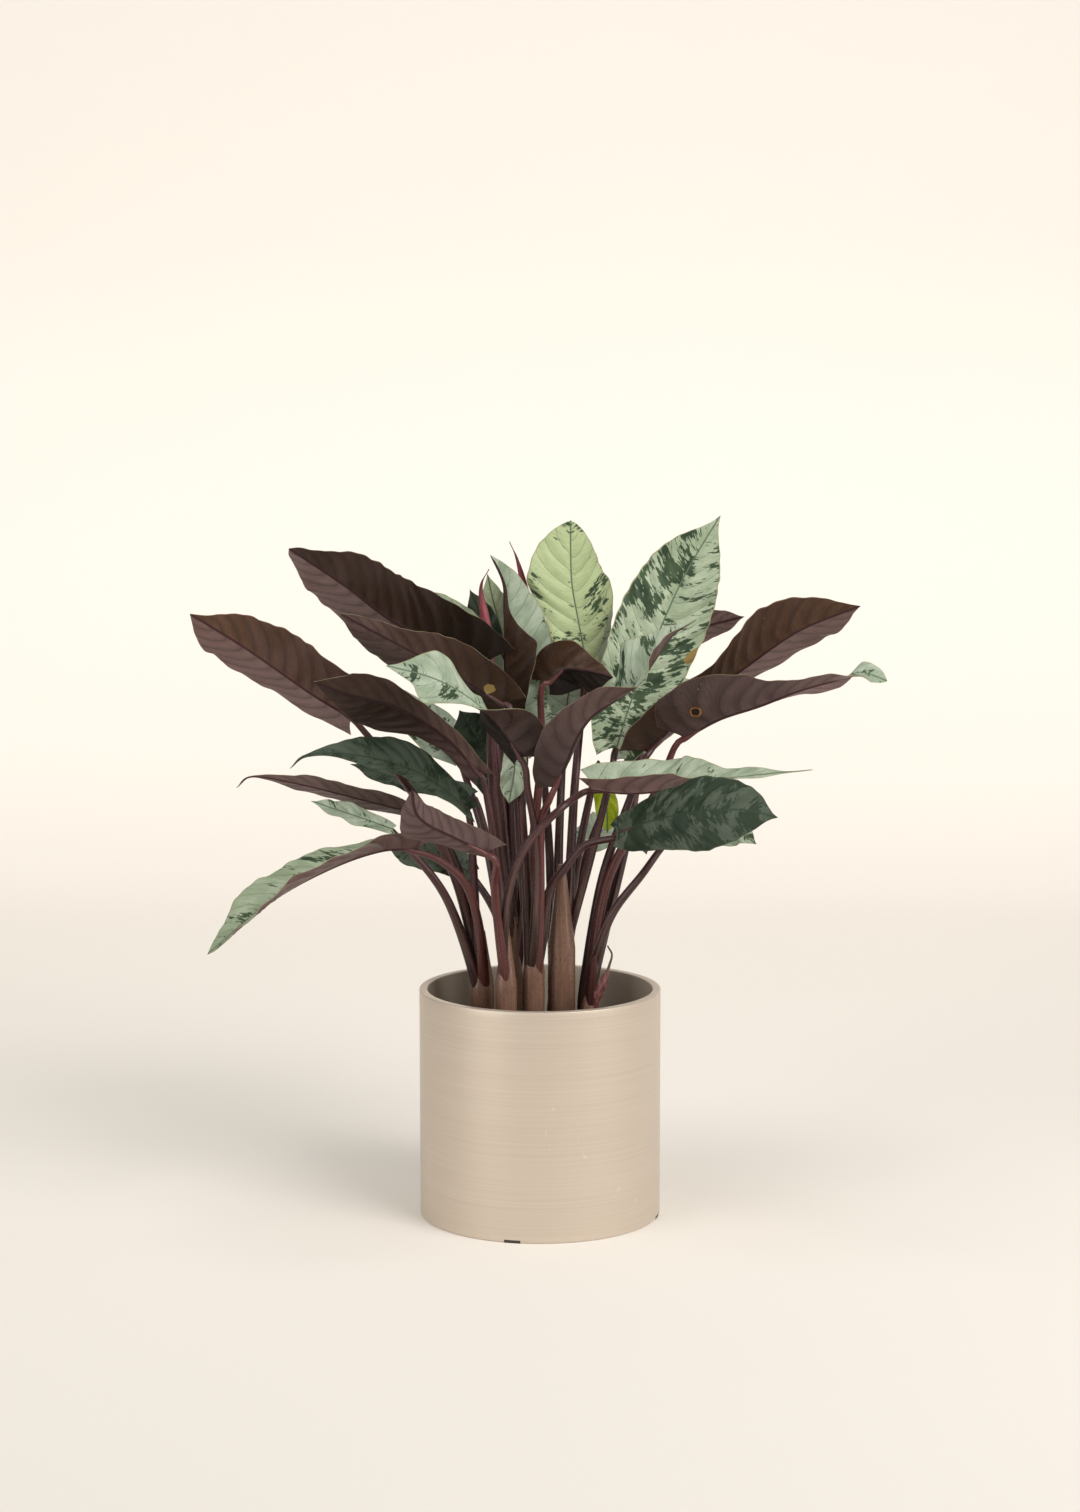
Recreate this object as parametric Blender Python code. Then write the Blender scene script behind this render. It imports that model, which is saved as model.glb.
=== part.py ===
"""Potted apoballis: a clump of narrow, waved, pointed leaves on sheathing stalks in a straight-sided pot.

Lengths below are in millimetres. +Z is up, the front of the plant faces -Y, and the origin is the centre
of the flat underside of the pot.
"""

import math
import random

import bpy
from mathutils import Matrix, Vector

MM = 0.001

# Pot: a straight cylinder with a closed bottom.
POT_RADIUS = 90.0
POT_HEIGHT = 171.0
POT_WALL = 6.0
POT_FLOOR = 6.0
POT_EDGE = 0.8
POT_SIDES = 80

# Four thin dark pads let into the bottom edge of the pot.
PAD_BEARINGS = (257.0, 347.0, 77.0, 167.0)
PAD_HALF_ANGLE = 3.7
PAD_DEPTH = 7.0
PAD_HEIGHT = 2.0
PAD_STEPS = 3
NOTCH_SPARE_ANGLE = 0.2
NOTCH_OVER = 2.0

# Soil: fills the pot up to its level, out of sight below the rim.
GAP = 0.3
SOIL_LEVEL = 131.0
SOIL_ROUGHNESS = 1.2
SOIL_RINGS = 4
SOIL_SIDES = 32
HOLE_FLOOR = 104.0
HOLE_ABOVE = 20.0
HOLE_SIDES = 16

# Blades and stalks.
BLADE_THICKNESS = 0.8
BLADE_ROWS = 11
SMALL_BLADE = 100.0
SMALL_BLADE_ROWS = 7
BLADE_COLUMNS = 6
WIDEST = 0.42
BASE_REACH = 0.4
WIDTHS = (
    (0.0, 0.38), (0.05, 0.56), (0.1, 0.69), (0.2, 0.86), (0.3, 0.96), (0.42, 1.0),
    (0.55, 0.95), (0.68, 0.79), (0.8, 0.52), (0.88, 0.29), (0.95, 0.1), (1.0, 0.0),
)
STALK_SIDES = 6
STALK_FOOT_RADIUS = 4.6
STALK_TOP_RADIUS = 1.9
BEND_OUT = 0.38
BEND_UP = 0.55
NECK_BACK = 7.0
NECK_BELOW = 6.0
JOINT_AHEAD = 3.0
JOINT_BELOW = 3.3
BUD_GAP = 0.8
SHEATH_SIDES = 14
SHEATH_BOTTOM = 104.6
SHEATH_TOP = 176.0
SHEATH_SHOULDER = 0.6
SHEATH_CLOSING = 0.75
STALK_LEVELS = (116.0, 142.0, 168.0)
SHORTEST_NECK = 12.0
GOLDEN_ANGLE = 137.5
FIRST_ANGLE = 40.0
SIDE_VEIN_SLANT = 0.6
LOBE_SLANT = -0.75
LOBE_REACH = 0.3
RIPPLE_REACH = 12.0
RIPPLE_SIDE_SHIFT = 0.18
BUD_END_RADIUS = 0.8

# Shoots: foot in the soil (x, y), radius of the sheath there, and how far the stalks stand off its axis.
SHOOTS = {
    "left": ((-43.0, -6.0), 8.8, 3.6),
    "front": ((-25.0, -31.0), 8.0, 3.0),
    "centre": ((-5.0, -18.0), 8.4, 3.4),
    "broad": ((16.0, -6.0), 10.2, 4.6),
    "right": ((36.0, 8.0), 8.0, 3.0),
    "back_left": ((-20.0, 26.0), 10.2, 4.2),
    "back_right": ((14.0, 34.0), 9.0, 3.8),
}


def leaf(shoot, rib, half, face, fold=(8.0, 8.0), wave=(1.5, 2.5, 0.0), stalk=(), broad=0.42, base=1.0,
         edge=()):
    """One leaf: its shoot, the points of its midrib from base to tip, half its greatest width, the way its
    upper side faces from base to tip, the rise of its left and right half in degrees (one pair, or pairs
    evenly spaced from base to tip), the wave of its edges (height, number, start), points its stalk passes,
    where it is widest, and the fullness of its base. A leaf that isn't alike on both sides has the width of
    its left and right half at places along it instead of the last two."""
    return {
        "shoot": shoot,
        "rib": [Vector(p) for p in rib],
        "half": half,
        "face": [Vector(f) for f in face],
        "fold": fold,
        "wave": wave,
        "stalk": [Vector(p) for p in stalk],
        "broad": broad,
        "base": base,
        "edge": edge,
    }


LEAVES = {
    "far_left": leaf(
        "left", [(-138, -8, 374), (-168, -25, 395), (-209, -45, 427), (-251, -55, 455)], 27,
        [(0.15, 0.95, 0.2), (0.1, 0.95, 0.25)],
        fold=(0, 28), wave=(1.5, 3.0, 0.2),
        stalk=[(-62, 2, 262), (-98, 2, 322)],
        edge=(
            (0, 20, 18), (0.15, 29, 21), (0.35, 31, 25), (0.55, 28, 29), (0.7, 21, 27), (0.8, 14, 21),
            (0.92, 5, 9), (1, 0, 0),
        ),
    ),
    "top_left": leaf(
        "back_left", [(-41, 23, 411), (-103, 6, 441), (-143, -10, 472), (-182, -25, 500)], 30,
        [(0.1, 0.95, 0.2), (0.1, 0.95, 0.25)],
        fold=(0, 28), wave=(2.0, 3.0, 0.4),
        stalk=[(-36, 16, 330)],
        edge=(
            (0, 20, 14), (0.15, 33, 22), (0.3, 35, 28), (0.47, 33, 31), (0.63, 28, 30),
            (0.78, 18, 21.5), (0.88, 10, 12.5), (0.95, 5, 7), (1, 0, 0),
        ),
    ),
    "strip_behind": leaf(
        "back_left", [(-28, 51, 388), (-54, 51, 426), (-91, 47, 466)], 18,
        [(0.3, -0.8, 0.4), (0.2, -0.8, 0.5)],
    ),
    "mid_upper_left": leaf(
        "centre", [
            (-26, -5, 384), (-62, -10, 406), (-91, -20, 423), (-125, -28, 442), (-145, -30, 453),
        ], 26,
        [(0.2, 0.9, 0.3), (0.1, 0.9, 0.3)],
        fold=(5, 25), wave=(1.5, 3.0, 0.1),
        stalk=[(-12, -12, 250), (-17, -12, 320)],
        edge=(
            (0, 14, 14), (0.12, 22, 20), (0.28, 26, 23), (0.4, 22, 23), (0.5, 18.5, 26),
            (0.63, 13, 24), (0.77, 9, 17), (0.9, 5, 8), (1, 0, 0),
        ),
    ),
    "left_dark": leaf(
        "front", [
            (-44, -20, 334), (-68, -28, 362), (-102, -38, 385), (-137, -48, 396), (-163, -55, 406),
        ], 30,
        [(0.2, 0.9, 0.3), (0.1, 0.9, 0.3)],
        fold=(5, 10), wave=(1.5, 2.5, 0.6),
        edge=(
            (0, 8, 9), (0.15, 9, 12), (0.3, 9.5, 16), (0.4, 11.5, 25), (0.5, 14.5, 30), (0.62, 19, 25),
            (0.75, 16, 15), (0.87, 9, 8), (1, 0, 0),
        ),
    ),
    "centre_left": leaf(
        "centre", [
            (-14, -45, 350), (-25, -56, 368), (-37, -66, 384), (-56, -74, 400), (-78, -82, 412),
            (-109, -88, 421),
        ], 31,
        [
            (0.1, 0.95, 0.2), (0.1, 0.9, 0.4), (0.3, -0.3, 0.9), (0.3, -0.7, 0.6), (0.3, -0.75, 0.55),
            (0.3, -0.75, 0.55),
        ],
        fold=(0, 30, 5, 5), wave=(1.5, 2.5, 0.3),
        stalk=[(-3, -30, 242), (-4, -34, 295), (-9, -40, 325)],
        edge=(
            (0, 16, 10), (0.12, 27, 12), (0.25, 25, 15), (0.37, 17, 10), (0.48, 15, 8), (0.64, 24, 20),
            (0.8, 11, 12), (0.92, 4, 4), (1, 0, 0),
        ),
    ),
    "centre_right": leaf(
        "centre", [
            (11, -46, 328), (18, -58, 345), (27, -68, 368), (39, -75, 385), (61, -80, 400),
            (73, -82, 412), (84, -83, 428), (94, -82, 442), (111, -80, 453),
        ], 30,
        [
            (0.1, 0.95, 0.1), (0.1, 0.95, 0.2), (-0.2, 0.6, 0.7), (-0.45, -0.8, 0.35),
            (-0.45, -0.8, 0.35), (-0.45, -0.8, 0.35),
        ],
        wave=(1.2, 2.5, 0.0),
        fold=(85, 0, 80, 0, 30, 40, 8, 80, 8, 80),
        stalk=[(0, -26, 242), (1, -34, 299)],
        edge=(
            (0, 8, 12), (0.07, 12, 20), (0.19, 18, 25), (0.3, 22, 20), (0.4, 25, 15), (0.52, 28, 20),
            (0.62, 28, 22), (0.74, 19, 15), (0.84, 10, 7), (0.93, 3, 2), (1, 0, 0),
        ),
    ),
    "centre_brown": leaf(
        "back_left", [(6, 27, 396), (18, 23, 407), (36, 12, 407), (54, -4, 404)], 28,
        [(0.0, 0.95, 0.2), (0.0, 0.95, 0.2)],
        fold=(5, 15), wave=(1.0, 2.5, 0.0),
        stalk=[(0, 26, 330)],
        edge=(
            (0, 7, 10), (0.1, 16, 18), (0.22, 23, 22), (0.45, 17, 13), (0.65, 13, 9), (0.85, 5, 4),
            (1, 0, 0),
        ),
    ),
    "upright_silver": leaf(
        "back_left", [
            (-21, 31, 366), (-25, 31, 391), (-26, 31, 421), (-27, 31, 451), (-28, 30, 471),
            (-37, 28, 492),
        ], 33,
        [(0.3, -0.9, 0.2), (0.3, -0.9, 0.2)],
        fold=(135, 8), wave=(1.0, 2.5, 0.0),
        edge=(
            (0, 10, 20), (0.12, 14, 30), (0.2, 20, 33), (0.3, 26, 35), (0.37, 26, 34), (0.46, 17, 31),
            (0.54, 10, 28), (0.64, 5, 22), (0.76, 3, 14.5), (0.86, 2, 8.5), (0.94, 1.5, 4), (1, 0, 0),
        ),
    ),
    "back_dark": leaf(
        "back_left", [(-29, 64, 389), (-39, 64, 419), (-46, 62, 446), (-53, 60, 464)], 13,
        [(0.1, -0.9, 0.3), (0.1, -0.9, 0.3)],
    ),
    "back_pale": leaf(
        "back_left", [(-20, 78, 387), (-28, 78, 425), (-36, 76, 456), (-40, 74, 475)], 13,
        [(0.1, -0.9, 0.3), (0.1, -0.9, 0.3)],
    ),
    "top_centre": leaf(
        "broad", [(34, 42, 414), (29, 46, 440), (24, 50, 468), (23, 54, 493), (23, 58, 516)], 33,
        [(0.1, -0.95, 0.3), (0.0, -0.9, 0.4)],
        fold=(8, 8), wave=(1.5, 2.5, 0.2),
        edge=(
            (0, 15, 9), (0.07, 20, 12), (0.17, 23, 20), (0.27, 26, 29), (0.37, 32.5, 28),
            (0.45, 33, 25), (0.55, 30, 22), (0.7, 23.5, 17), (0.8, 17, 13), (0.88, 11, 9),
            (0.95, 5, 4.5), (1, 0, 0),
        ),
    ),
    "tall_right": leaf(
        "broad", [(57, 10, 350), (68, 14, 385), (91, 24, 441), (110, 30, 481), (134, 32, 521)], 34,
        [(0.0, -0.95, 0.3), (-0.2, -0.9, 0.4)],
        fold=(8, 10), wave=(2.0, 2.5, 0.5), broad=0.42,
        stalk=[(30, 2, 240), (48, 4, 310)],
    ),
    "small_behind": leaf(
        "right", [(87, 56, 416), (120, 58, 434), (154, 54, 444)], 13,
        [(0.0, 0.9, 0.4), (0.0, 0.9, 0.4)],
        stalk=[(68, 36, 290), (78, 50, 370)],
    ),
    "right_brown": leaf(
        "right", [(80, 6, 347), (111, 3, 380), (150, -8, 411), (189, -22, 440), (232, -34, 459)], 29,
        [(-0.15, 0.9, 0.35), (-0.1, 0.95, 0.3)],
        fold=(25, 0), wave=(1.0, 3.0, 0.3),
        stalk=[(46, 8, 250), (66, 8, 310)],
        edge=(
            (0, 3, 18), (0.07, 5, 25), (0.15, 6.5, 23.5), (0.25, 8, 19), (0.33, 10, 17),
            (0.42, 15, 22), (0.5, 19, 28), (0.58, 21, 31), (0.66, 24, 29.5), (0.75, 23, 24.5),
            (0.83, 18, 17), (0.89, 12, 10.5), (0.95, 4.5, 4.5), (1, 0, 0),
        ),
    ),
    "right_grey": leaf(
        "right", [
            (106, -14, 360), (131, -30, 376), (159, -42, 387), (187, -50, 399), (216, -56, 408),
            (231, -58, 413), (249, -60, 407),
        ], 37,
        [
            (-0.1, 0.95, 0.15), (-0.1, 0.95, 0.15), (-0.1, 0.95, 0.2), (-0.1, 0.9, 0.3),
            (-0.1, 0.75, 0.5), (-0.1, 0.6, 0.6), (0.0, -0.3, 0.9), (0.0, -0.8, 0.5),
        ],
        wave=(1.2, 3.0, 0.0),
        fold=(85, 0, 82, 0, 65, 0, 20, 0, 0, 0, 0, 0),
        stalk=[(50, 4, 250), (86, -4, 320)],
        edge=(
            (0, 10, 17), (0.04, 12, 28), (0.085, 15, 36), (0.175, 16, 37.5), (0.275, 14, 29.5),
            (0.39, 11, 19.5), (0.53, 9, 13), (0.65, 11, 9), (0.75, 12, 9), (0.86, 13, 11),
            (0.93, 9, 6), (0.97, 4, 3), (1, 0, 0),
        ),
    ),
    "right_long": leaf(
        "front", [
            (38, -32, 325), (62, -37, 323), (86, -41, 325), (116, -45, 332), (152, -50, 337),
            (197, -53, 342),
        ], 30,
        [(-0.1, -0.7, 0.65), (0.0, -0.5, 0.8)],
        wave=(1.2, 3.0, 0.2),
        fold=(0, 85, 0, 85, 0, 60, 0, 15, 0, 5),
        stalk=[(-26, -36, 220), (-23, -44, 250), (-16, -48, 274), (-4, -48, 294), (16, -44, 313)],
        edge=(
            (0, 16, 12), (0.12, 28, 20), (0.25, 30, 22), (0.42, 22, 14), (0.55, 12.5, 6), (0.75, 7, 4),
            (0.88, 1.2, 1.0), (1, 0, 0),
        ),
    ),
    "lower_right": leaf(
        "centre", [
            (56, -42, 294), (83, -64, 307), (114, -84, 316), (143, -96, 319), (168, -106, 315),
        ], 29,
        [(0.0, -0.85, 0.5), (0.1, -0.75, 0.6)],
        fold=(-6, -14), wave=(1.5, 2.5, 0.4), base=0.75,
        stalk=[(3, -14, 217), (7, -16, 247), (18, -20, 264), (33, -24, 282)],
    ),
    "lower_right_pale": leaf(
        "right", [(97, 4, 281), (119, 0, 286), (144, -6, 289), (160, -12, 281)], 14,
        [(0.0, -0.8, 0.6), (0.1, -0.8, 0.6)],
        stalk=[(43, 4, 199), (55, 4, 228), (76, 2, 256)],
    ),
    "left_green": leaf(
        "left", [
            (-52, -14, 306), (-75, -28, 328), (-102, -42, 344), (-141, -55, 354), (-168, -61, 353),
            (-180, -63, 344),
        ], 22,
        [(0.2, -0.5, 0.75), (0.0, -0.7, 0.7)],
        wave=(1.2, 3.0, 0.1),
        edge=(
            (0, 8, 10), (0.17, 14, 18), (0.35, 14, 22), (0.5, 12, 20), (0.65, 8, 12), (0.8, 3, 5),
            (0.88, 1.4, 1.8), (0.95, 0.8, 0.8), (1, 0, 0),
        ),
    ),
    "left_behind": leaf(
        "back_left", [(-52, 34, 310), (-82, 32, 319), (-115, 28, 327), (-142, 24, 336)], 16,
        [(0.1, -0.5, 0.85), (0.1, -0.5, 0.85)],
    ),
    "front_left": leaf(
        "front", [
            (-38, -70, 284), (-67, -84, 300), (-80, -92, 308), (-88, -96, 317), (-91, -98, 334),
        ], 18,
        [(-0.1, 0.85, 0.5), (0.1, 0.9, 0.2)],
        fold=(10, 10), wave=(1.0, 2.0, 0.2),
        stalk=[(-30, -40, 221), (-33, -56, 257)],
        edge=(
            (0, 12, 5), (0.15, 14, 8), (0.35, 14, 13), (0.5, 14, 19), (0.62, 12.5, 18),
            (0.75, 9.5, 11), (0.88, 5, 5), (1, 0, 0),
        ),
    ),
    "long_lower_left": leaf(
        "left", [
            (-89, -50, 284), (-115, -66, 285), (-150, -84, 275), (-192, -98, 253), (-236, -108, 217),
        ], 25,
        [(0.0, 0.3, 0.95), (-0.3, -0.5, 0.8)],
        fold=(25, 25), wave=(1.5, 3.0, 0.0),
        stalk=[(-45, -26, 222), (-55, -36, 256), (-74, -46, 275)],
        edge=(
            (0, 16, 16), (0.15, 22, 21), (0.35, 27, 24), (0.55, 31, 25), (0.7, 28, 20), (0.82, 18, 13),
            (0.92, 8, 6), (1, 0, 0),
        ),
    ),
    "thin_purple": leaf(
        "left", [
            (-88, -24, 305), (-132, -34, 318), (-175, -42, 330), (-208, -47, 336), (-220, -48, 328),
        ], 14,
        [(0.0, 0.6, 0.8), (0.0, 0.6, 0.8)],
        wave=(1.0, 2.5, 0.0),
        edge=(
            (0, 8, 8), (0.2, 13, 13), (0.45, 13.5, 13.5), (0.65, 9, 9), (0.8, 4, 4), (0.88, 1.5, 1.5),
            (0.95, 0.8, 0.8), (1, 0, 0),
        ),
    ),
    "small_green": leaf(
        "left", [(-108, -30, 295), (-130, -36, 304), (-148, -42, 311), (-166, -46, 318)], 10,
        [(0.0, -0.6, 0.8), (0.0, -0.6, 0.8)],
    ),
    "lower_green": leaf(
        "back_left", [(-52, 24, 253), (-74, 20, 266), (-100, 16, 272), (-114, 14, 275)], 16,
        [(0.1, -0.8, 0.6), (0.1, -0.8, 0.6)],
    ),
    "dark_behind": leaf(
        "back_left", [(-26, 86, 301), (-41, 88, 333), (-62, 90, 369)], 21,
        [(0.1, -0.9, 0.3), (0.1, -0.9, 0.3)],
    ),
    "small_hanging": leaf(
        "centre", [(-18, -22, 358), (-19, -24, 335), (-23, -26, 313)], 10,
        [(0.0, -0.95, 0.2), (0.0, -0.95, 0.2)],
    ),
    "lime": leaf(
        "back_right", [(45, 44, 323), (50, 44, 302), (51, 42, 281)], 9,
        [(0.0, -0.95, 0.2), (0.0, -0.95, 0.2)],
    ),
    "rear_left": leaf(
        "back_left", [(-62, 92, 330), (-95, 125, 356), (-134, 156, 366), (-170, 184, 352)], 27,
        [(0.2, -0.5, 0.85), (-0.3, 0.3, 0.9)],
        wave=(2.0, 3.0, 0.5),
    ),
    "rear_centre": leaf(
        "back_right", [(2, 98, 336), (0, 134, 368), (-6, 176, 386), (-14, 218, 376)], 28,
        [(0.0, -0.5, 0.85), (0.0, 0.3, 0.95)],
        wave=(2.0, 3.0, 0.1),
    ),
    "rear_right": leaf(
        "back_right", [(66, 84, 332), (96, 116, 362), (132, 146, 378), (166, 176, 368)], 27,
        [(-0.2, -0.5, 0.85), (0.3, 0.3, 0.9)],
        wave=(2.0, 3.0, 0.8),
    ),
    "rear_low": leaf(
        "back_right", [(36, 88, 262), (54, 122, 274), (72, 160, 266), (86, 194, 240)], 24,
        [(0.0, -0.2, 0.95), (0.2, 0.4, 0.9)],
        wave=(2.0, 3.0, 0.3),
    ),
    "rear_upright": leaf(
        "back_right", [(20, 72, 372), (26, 86, 410), (34, 96, 448), (44, 98, 486)], 24,
        [(0.0, -0.9, 0.4), (0.0, -0.9, 0.4)],
        wave=(1.8, 3.0, 0.6),
    ),
}

# Young leaves still rolled into a pointed cone: shoot, points from foot to tip, and greatest radius.
BUDS = {
    "bud_red": ("back_left", [(-38, 38, 402), (-41, 38, 440), (-44, 37, 467), (-38, 36, 481)], 6.0),
    "bud_pink": ("back_left", [(-6, 60, 425), (-11, 60, 460), (-17, 58, 486), (-23, 58, 500)], 5.0),
}

# A dry strand with a shrivelled leaf bit, hanging inside the rim: points and radii.
DRY_STRAND = [
    ((50, -19, 206), 0.9),
    ((53, -24, 200), 1.0),
    ((50, -28, 190), 1.2),
    ((46, -30, 179), 3.2),
    ((43, -30, 172), 4.2),
    ((41, -30, 160), 2.6),
    ((40, -30, 152), 0.9),
]


def material(name, colour, roughness, metallic=0.0):
    """A Principled surface in one colour."""
    made = bpy.data.materials.new(name)
    made.use_nodes = True
    shader = made.node_tree.nodes["Principled BSDF"]
    shader.inputs["Base Color"].default_value = (*colour, 1.0)
    shader.inputs["Roughness"].default_value = roughness
    shader.inputs["Metallic"].default_value = metallic
    made.diffuse_color = (*colour, 1.0)
    return made


def add_object(name, points, faces, surface=None, place=(0.0, 0.0, 0.0)):
    """A mesh object from points in millimetres, with its origin at the given place."""
    origin = Vector(place)
    mesh = bpy.data.meshes.new(name)
    mesh.from_pydata([tuple((Vector(p) - origin) * MM) for p in points], [], faces)
    mesh.update()
    made = bpy.data.objects.new(name, mesh)
    made.location = origin * MM
    bpy.context.scene.collection.objects.link(made)
    if surface is not None:
        mesh.materials.append(surface)
    return made


def smooth(made, angle=40.0):
    made.data.shade_smooth()
    made.data.set_sharp_from_angle(angle=math.radians(angle))


def remove(made):
    bpy.data.objects.remove(made, do_unlink=True)


def freeze(made):
    """Replaces the object's mesh by the result of its modifiers."""
    depsgraph = bpy.context.evaluated_depsgraph_get()
    result = bpy.data.meshes.new_from_object(made.evaluated_get(depsgraph))
    made.modifiers.clear()
    made.data = result


def cut(target, cutter):
    step = target.modifiers.new("cut", "BOOLEAN")
    step.operation = "DIFFERENCE"
    step.solver = "EXACT"
    step.object = cutter
    freeze(target)
    remove(cutter)


def fuse(target, others):
    """One union of the target with a collection of objects, which are removed afterwards."""
    group = bpy.data.collections.new(target.name + "_parts")
    bpy.context.scene.collection.children.link(group)
    for other in others:
        bpy.context.scene.collection.objects.unlink(other)
        group.objects.link(other)
    step = target.modifiers.new("fuse", "BOOLEAN")
    step.operation = "UNION"
    step.solver = "MANIFOLD"
    step.operand_type = "COLLECTION"
    step.collection = group
    freeze(target)
    for other in others:
        remove(other)
    bpy.data.collections.remove(group)


def spline(points, at):
    """The point at a share of the way along a smooth curve through the points."""
    lengths = [0.0]
    for first, second in zip(points, points[1:]):
        lengths.append(lengths[-1] + (second - first).length)
    distance = at * lengths[-1]
    index = 0
    while index < len(points) - 2 and distance > lengths[index + 1]:
        index += 1
    share = (distance - lengths[index]) / (lengths[index + 1] - lengths[index])
    start, end = points[index], points[index + 1]
    before = points[index - 1] if index > 0 else start * 2 - end
    after = points[index + 2] if index + 2 < len(points) else end * 2 - start
    square, cube = share * share, share * share * share
    return 0.5 * (
        start * 2
        + (end - before) * share
        + (before * 2 - start * 5 + end * 4 - after) * square
        + (start * 3 - before - end * 3 + after) * cube
    )


def direction(points, at, step=0.01):
    low, high = max(0.0, at - step), min(1.0, at + step)
    return (spline(points, high) - spline(points, low)).normalized()


def blend(values, at):
    """The vector at a share of the way along an evenly spaced list."""
    place = at * (len(values) - 1)
    index = min(int(place), len(values) - 2)
    return values[index].lerp(values[index + 1], place - index)


def eased(knots, at):
    """The value at a place on a smooth run through (place, value) knots."""
    index = 0
    while index < len(knots) - 2 and at > knots[index + 1][0]:
        index += 1
    low, high = knots[index], knots[index + 1]
    span = high[0] - low[0]
    share = (at - low[0]) / span

    def slope(middle):
        before, after = knots[max(0, middle - 1)], knots[min(len(knots) - 1, middle + 1)]
        return (after[1] - before[1]) / (after[0] - before[0])

    square, cube = share * share, share * share * share
    return (
        (2 * cube - 3 * square + 1) * low[1]
        + (cube - 2 * square + share) * span * slope(index)
        + (3 * square - 2 * cube) * high[1]
        + (cube - square) * span * slope(index + 1)
    )


def half_width(spec, at, side):
    """Half width of the blade at a share of its length, on its left (-1) or right (1)."""
    if spec["edge"]:
        knots = [(place, left if side < 0 else right) for place, left, right in spec["edge"]]
        return max(0.0, eased(knots, at))
    broad, base = spec["broad"], spec["base"]
    place = at / broad * WIDEST if at < broad else WIDEST + (at - broad) / (1.0 - broad) * (1.0 - WIDEST)
    fullness = base + (1.0 - base) * min(1.0, at / BASE_REACH)
    return spec["half"] * max(0.0, eased(WIDTHS, place)) * fullness


def rise_at(fold, at, side):
    """Rise of the left or right half in degrees at a share of the blade's length."""
    rises = fold[0::2] if side < 0 else fold[1::2]
    if len(rises) == 1:
        return rises[0]
    place = at * (len(rises) - 1)
    index = min(int(place), len(rises) - 2)
    return rises[index] + (rises[index + 1] - rises[index]) * (place - index)


def sweep_share(at):
    """How far the side veins run forward on their way to the edge: back into lobes at the base."""
    return LOBE_SLANT + (SIDE_VEIN_SLANT - LOBE_SLANT) * min(1.0, at / LOBE_REACH) ** 0.8


def blade_point(spec, at, side, across):
    """A point of the blade's middle surface: at along it, side -1 or 1, across from midrib 0 to edge 1."""
    rib = spec["rib"]
    centre = spline(rib, at)
    ahead = direction(rib, at)
    face = blend(spec["face"], at)
    up = (face - ahead * face.dot(ahead)).normalized()
    out = ahead.cross(up) * side
    half = half_width(spec, at, side)
    rise = math.radians(rise_at(spec["fold"], at, side))
    offset = (out * math.cos(rise) + up * math.sin(rise)) * (half * across)
    height, count, start = spec["wave"]
    ripple = height * math.sin(2.0 * math.pi * (count * at + start + RIPPLE_SIDE_SHIFT * side))
    ripple *= across * across * min(1.0, half / RIPPLE_REACH)
    return centre + offset + up * ripple + ahead * (sweep_share(at) * half * across**1.5)


def blade_grid(spec, rows, columns):
    """Rows of points from the left edge over the midrib to the right edge, and the point of the tip."""
    grid = []
    for row in range(rows):
        at = row / rows
        line = []
        for column in range(columns + 1):
            across = 2.0 * column / columns - 1.0
            side = -1 if across < 0 else 1
            line.append(blade_point(spec, at, side, abs(across)))
        grid.append(line)
    return grid, spline(spec["rib"], 1.0)


def grid_normals(grid, tip):
    normals = []
    rows, columns = len(grid), len(grid[0])
    for row in range(rows):
        line = []
        for column in range(columns):
            left = grid[row][max(0, column - 1)]
            right = grid[row][min(columns - 1, column + 1)]
            back = grid[max(0, row - 1)][column]
            front = grid[row + 1][column] if row + 1 < rows else tip
            line.append((right - left).cross(front - back).normalized())
        normals.append(line)
    return normals


def blade_faces(rows, columns):
    """Triangles of the upper face, of the lower face alike, and of the rim between them."""
    line = columns + 1
    tip = rows * line
    layer = tip + 1
    upper = []
    for row in range(rows - 1):
        for column in range(columns):
            a = row * line + column
            b, c, d = a + 1, a + line + 1, a + line
            if column < columns // 2:
                upper += [(a, b, c), (a, c, d)]
            else:
                upper += [(a, b, d), (b, c, d)]
    for column in range(columns):
        a = (rows - 1) * line + column
        upper.append((a, a + 1, tip))
    lower = [(a + layer, c + layer, b + layer) for a, b, c in upper]
    border = [column for column in range(columns)]
    border += [row * line + columns for row in range(rows)]
    border.append(tip)
    border += [row * line for row in range(rows - 1, 0, -1)]
    rim = []
    for a, b in zip(border, border[1:] + border[:1]):
        rim += [(a, a + layer, b + layer), (a, b + layer, b)]
    return upper + lower + rim


def make_blade(name, spec, surface):
    length = sum((b - a).length for a, b in zip(spec["rib"], spec["rib"][1:]))
    rows = BLADE_ROWS if length > SMALL_BLADE else SMALL_BLADE_ROWS
    grid, tip = blade_grid(spec, rows, BLADE_COLUMNS)
    normals = grid_normals(grid, tip)
    half = BLADE_THICKNESS / 2.0
    upper, lower = [], []
    for line, line_normals in zip(grid, normals):
        for point, normal in zip(line, line_normals):
            upper.append(point + normal * half)
            lower.append(point - normal * half)
    tip_normal = normals[-1][BLADE_COLUMNS // 2]
    upper.append(tip + tip_normal * half)
    lower.append(tip - tip_normal * half)
    made = add_object(name, upper + lower, blade_faces(rows, BLADE_COLUMNS), surface, spec["rib"][0])
    smooth(made)
    return made


def ring_places(path, between):
    """Shares of the way along a path at its points and evenly between them."""
    lengths = [0.0]
    for first, second in zip(path, path[1:]):
        lengths.append(lengths[-1] + (second - first).length)
    places = []
    for low, high in zip(lengths, lengths[1:]):
        places += [low + (high - low) * step / between for step in range(between)]
    return [place / lengths[-1] for place in places] + [1.0]


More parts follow.
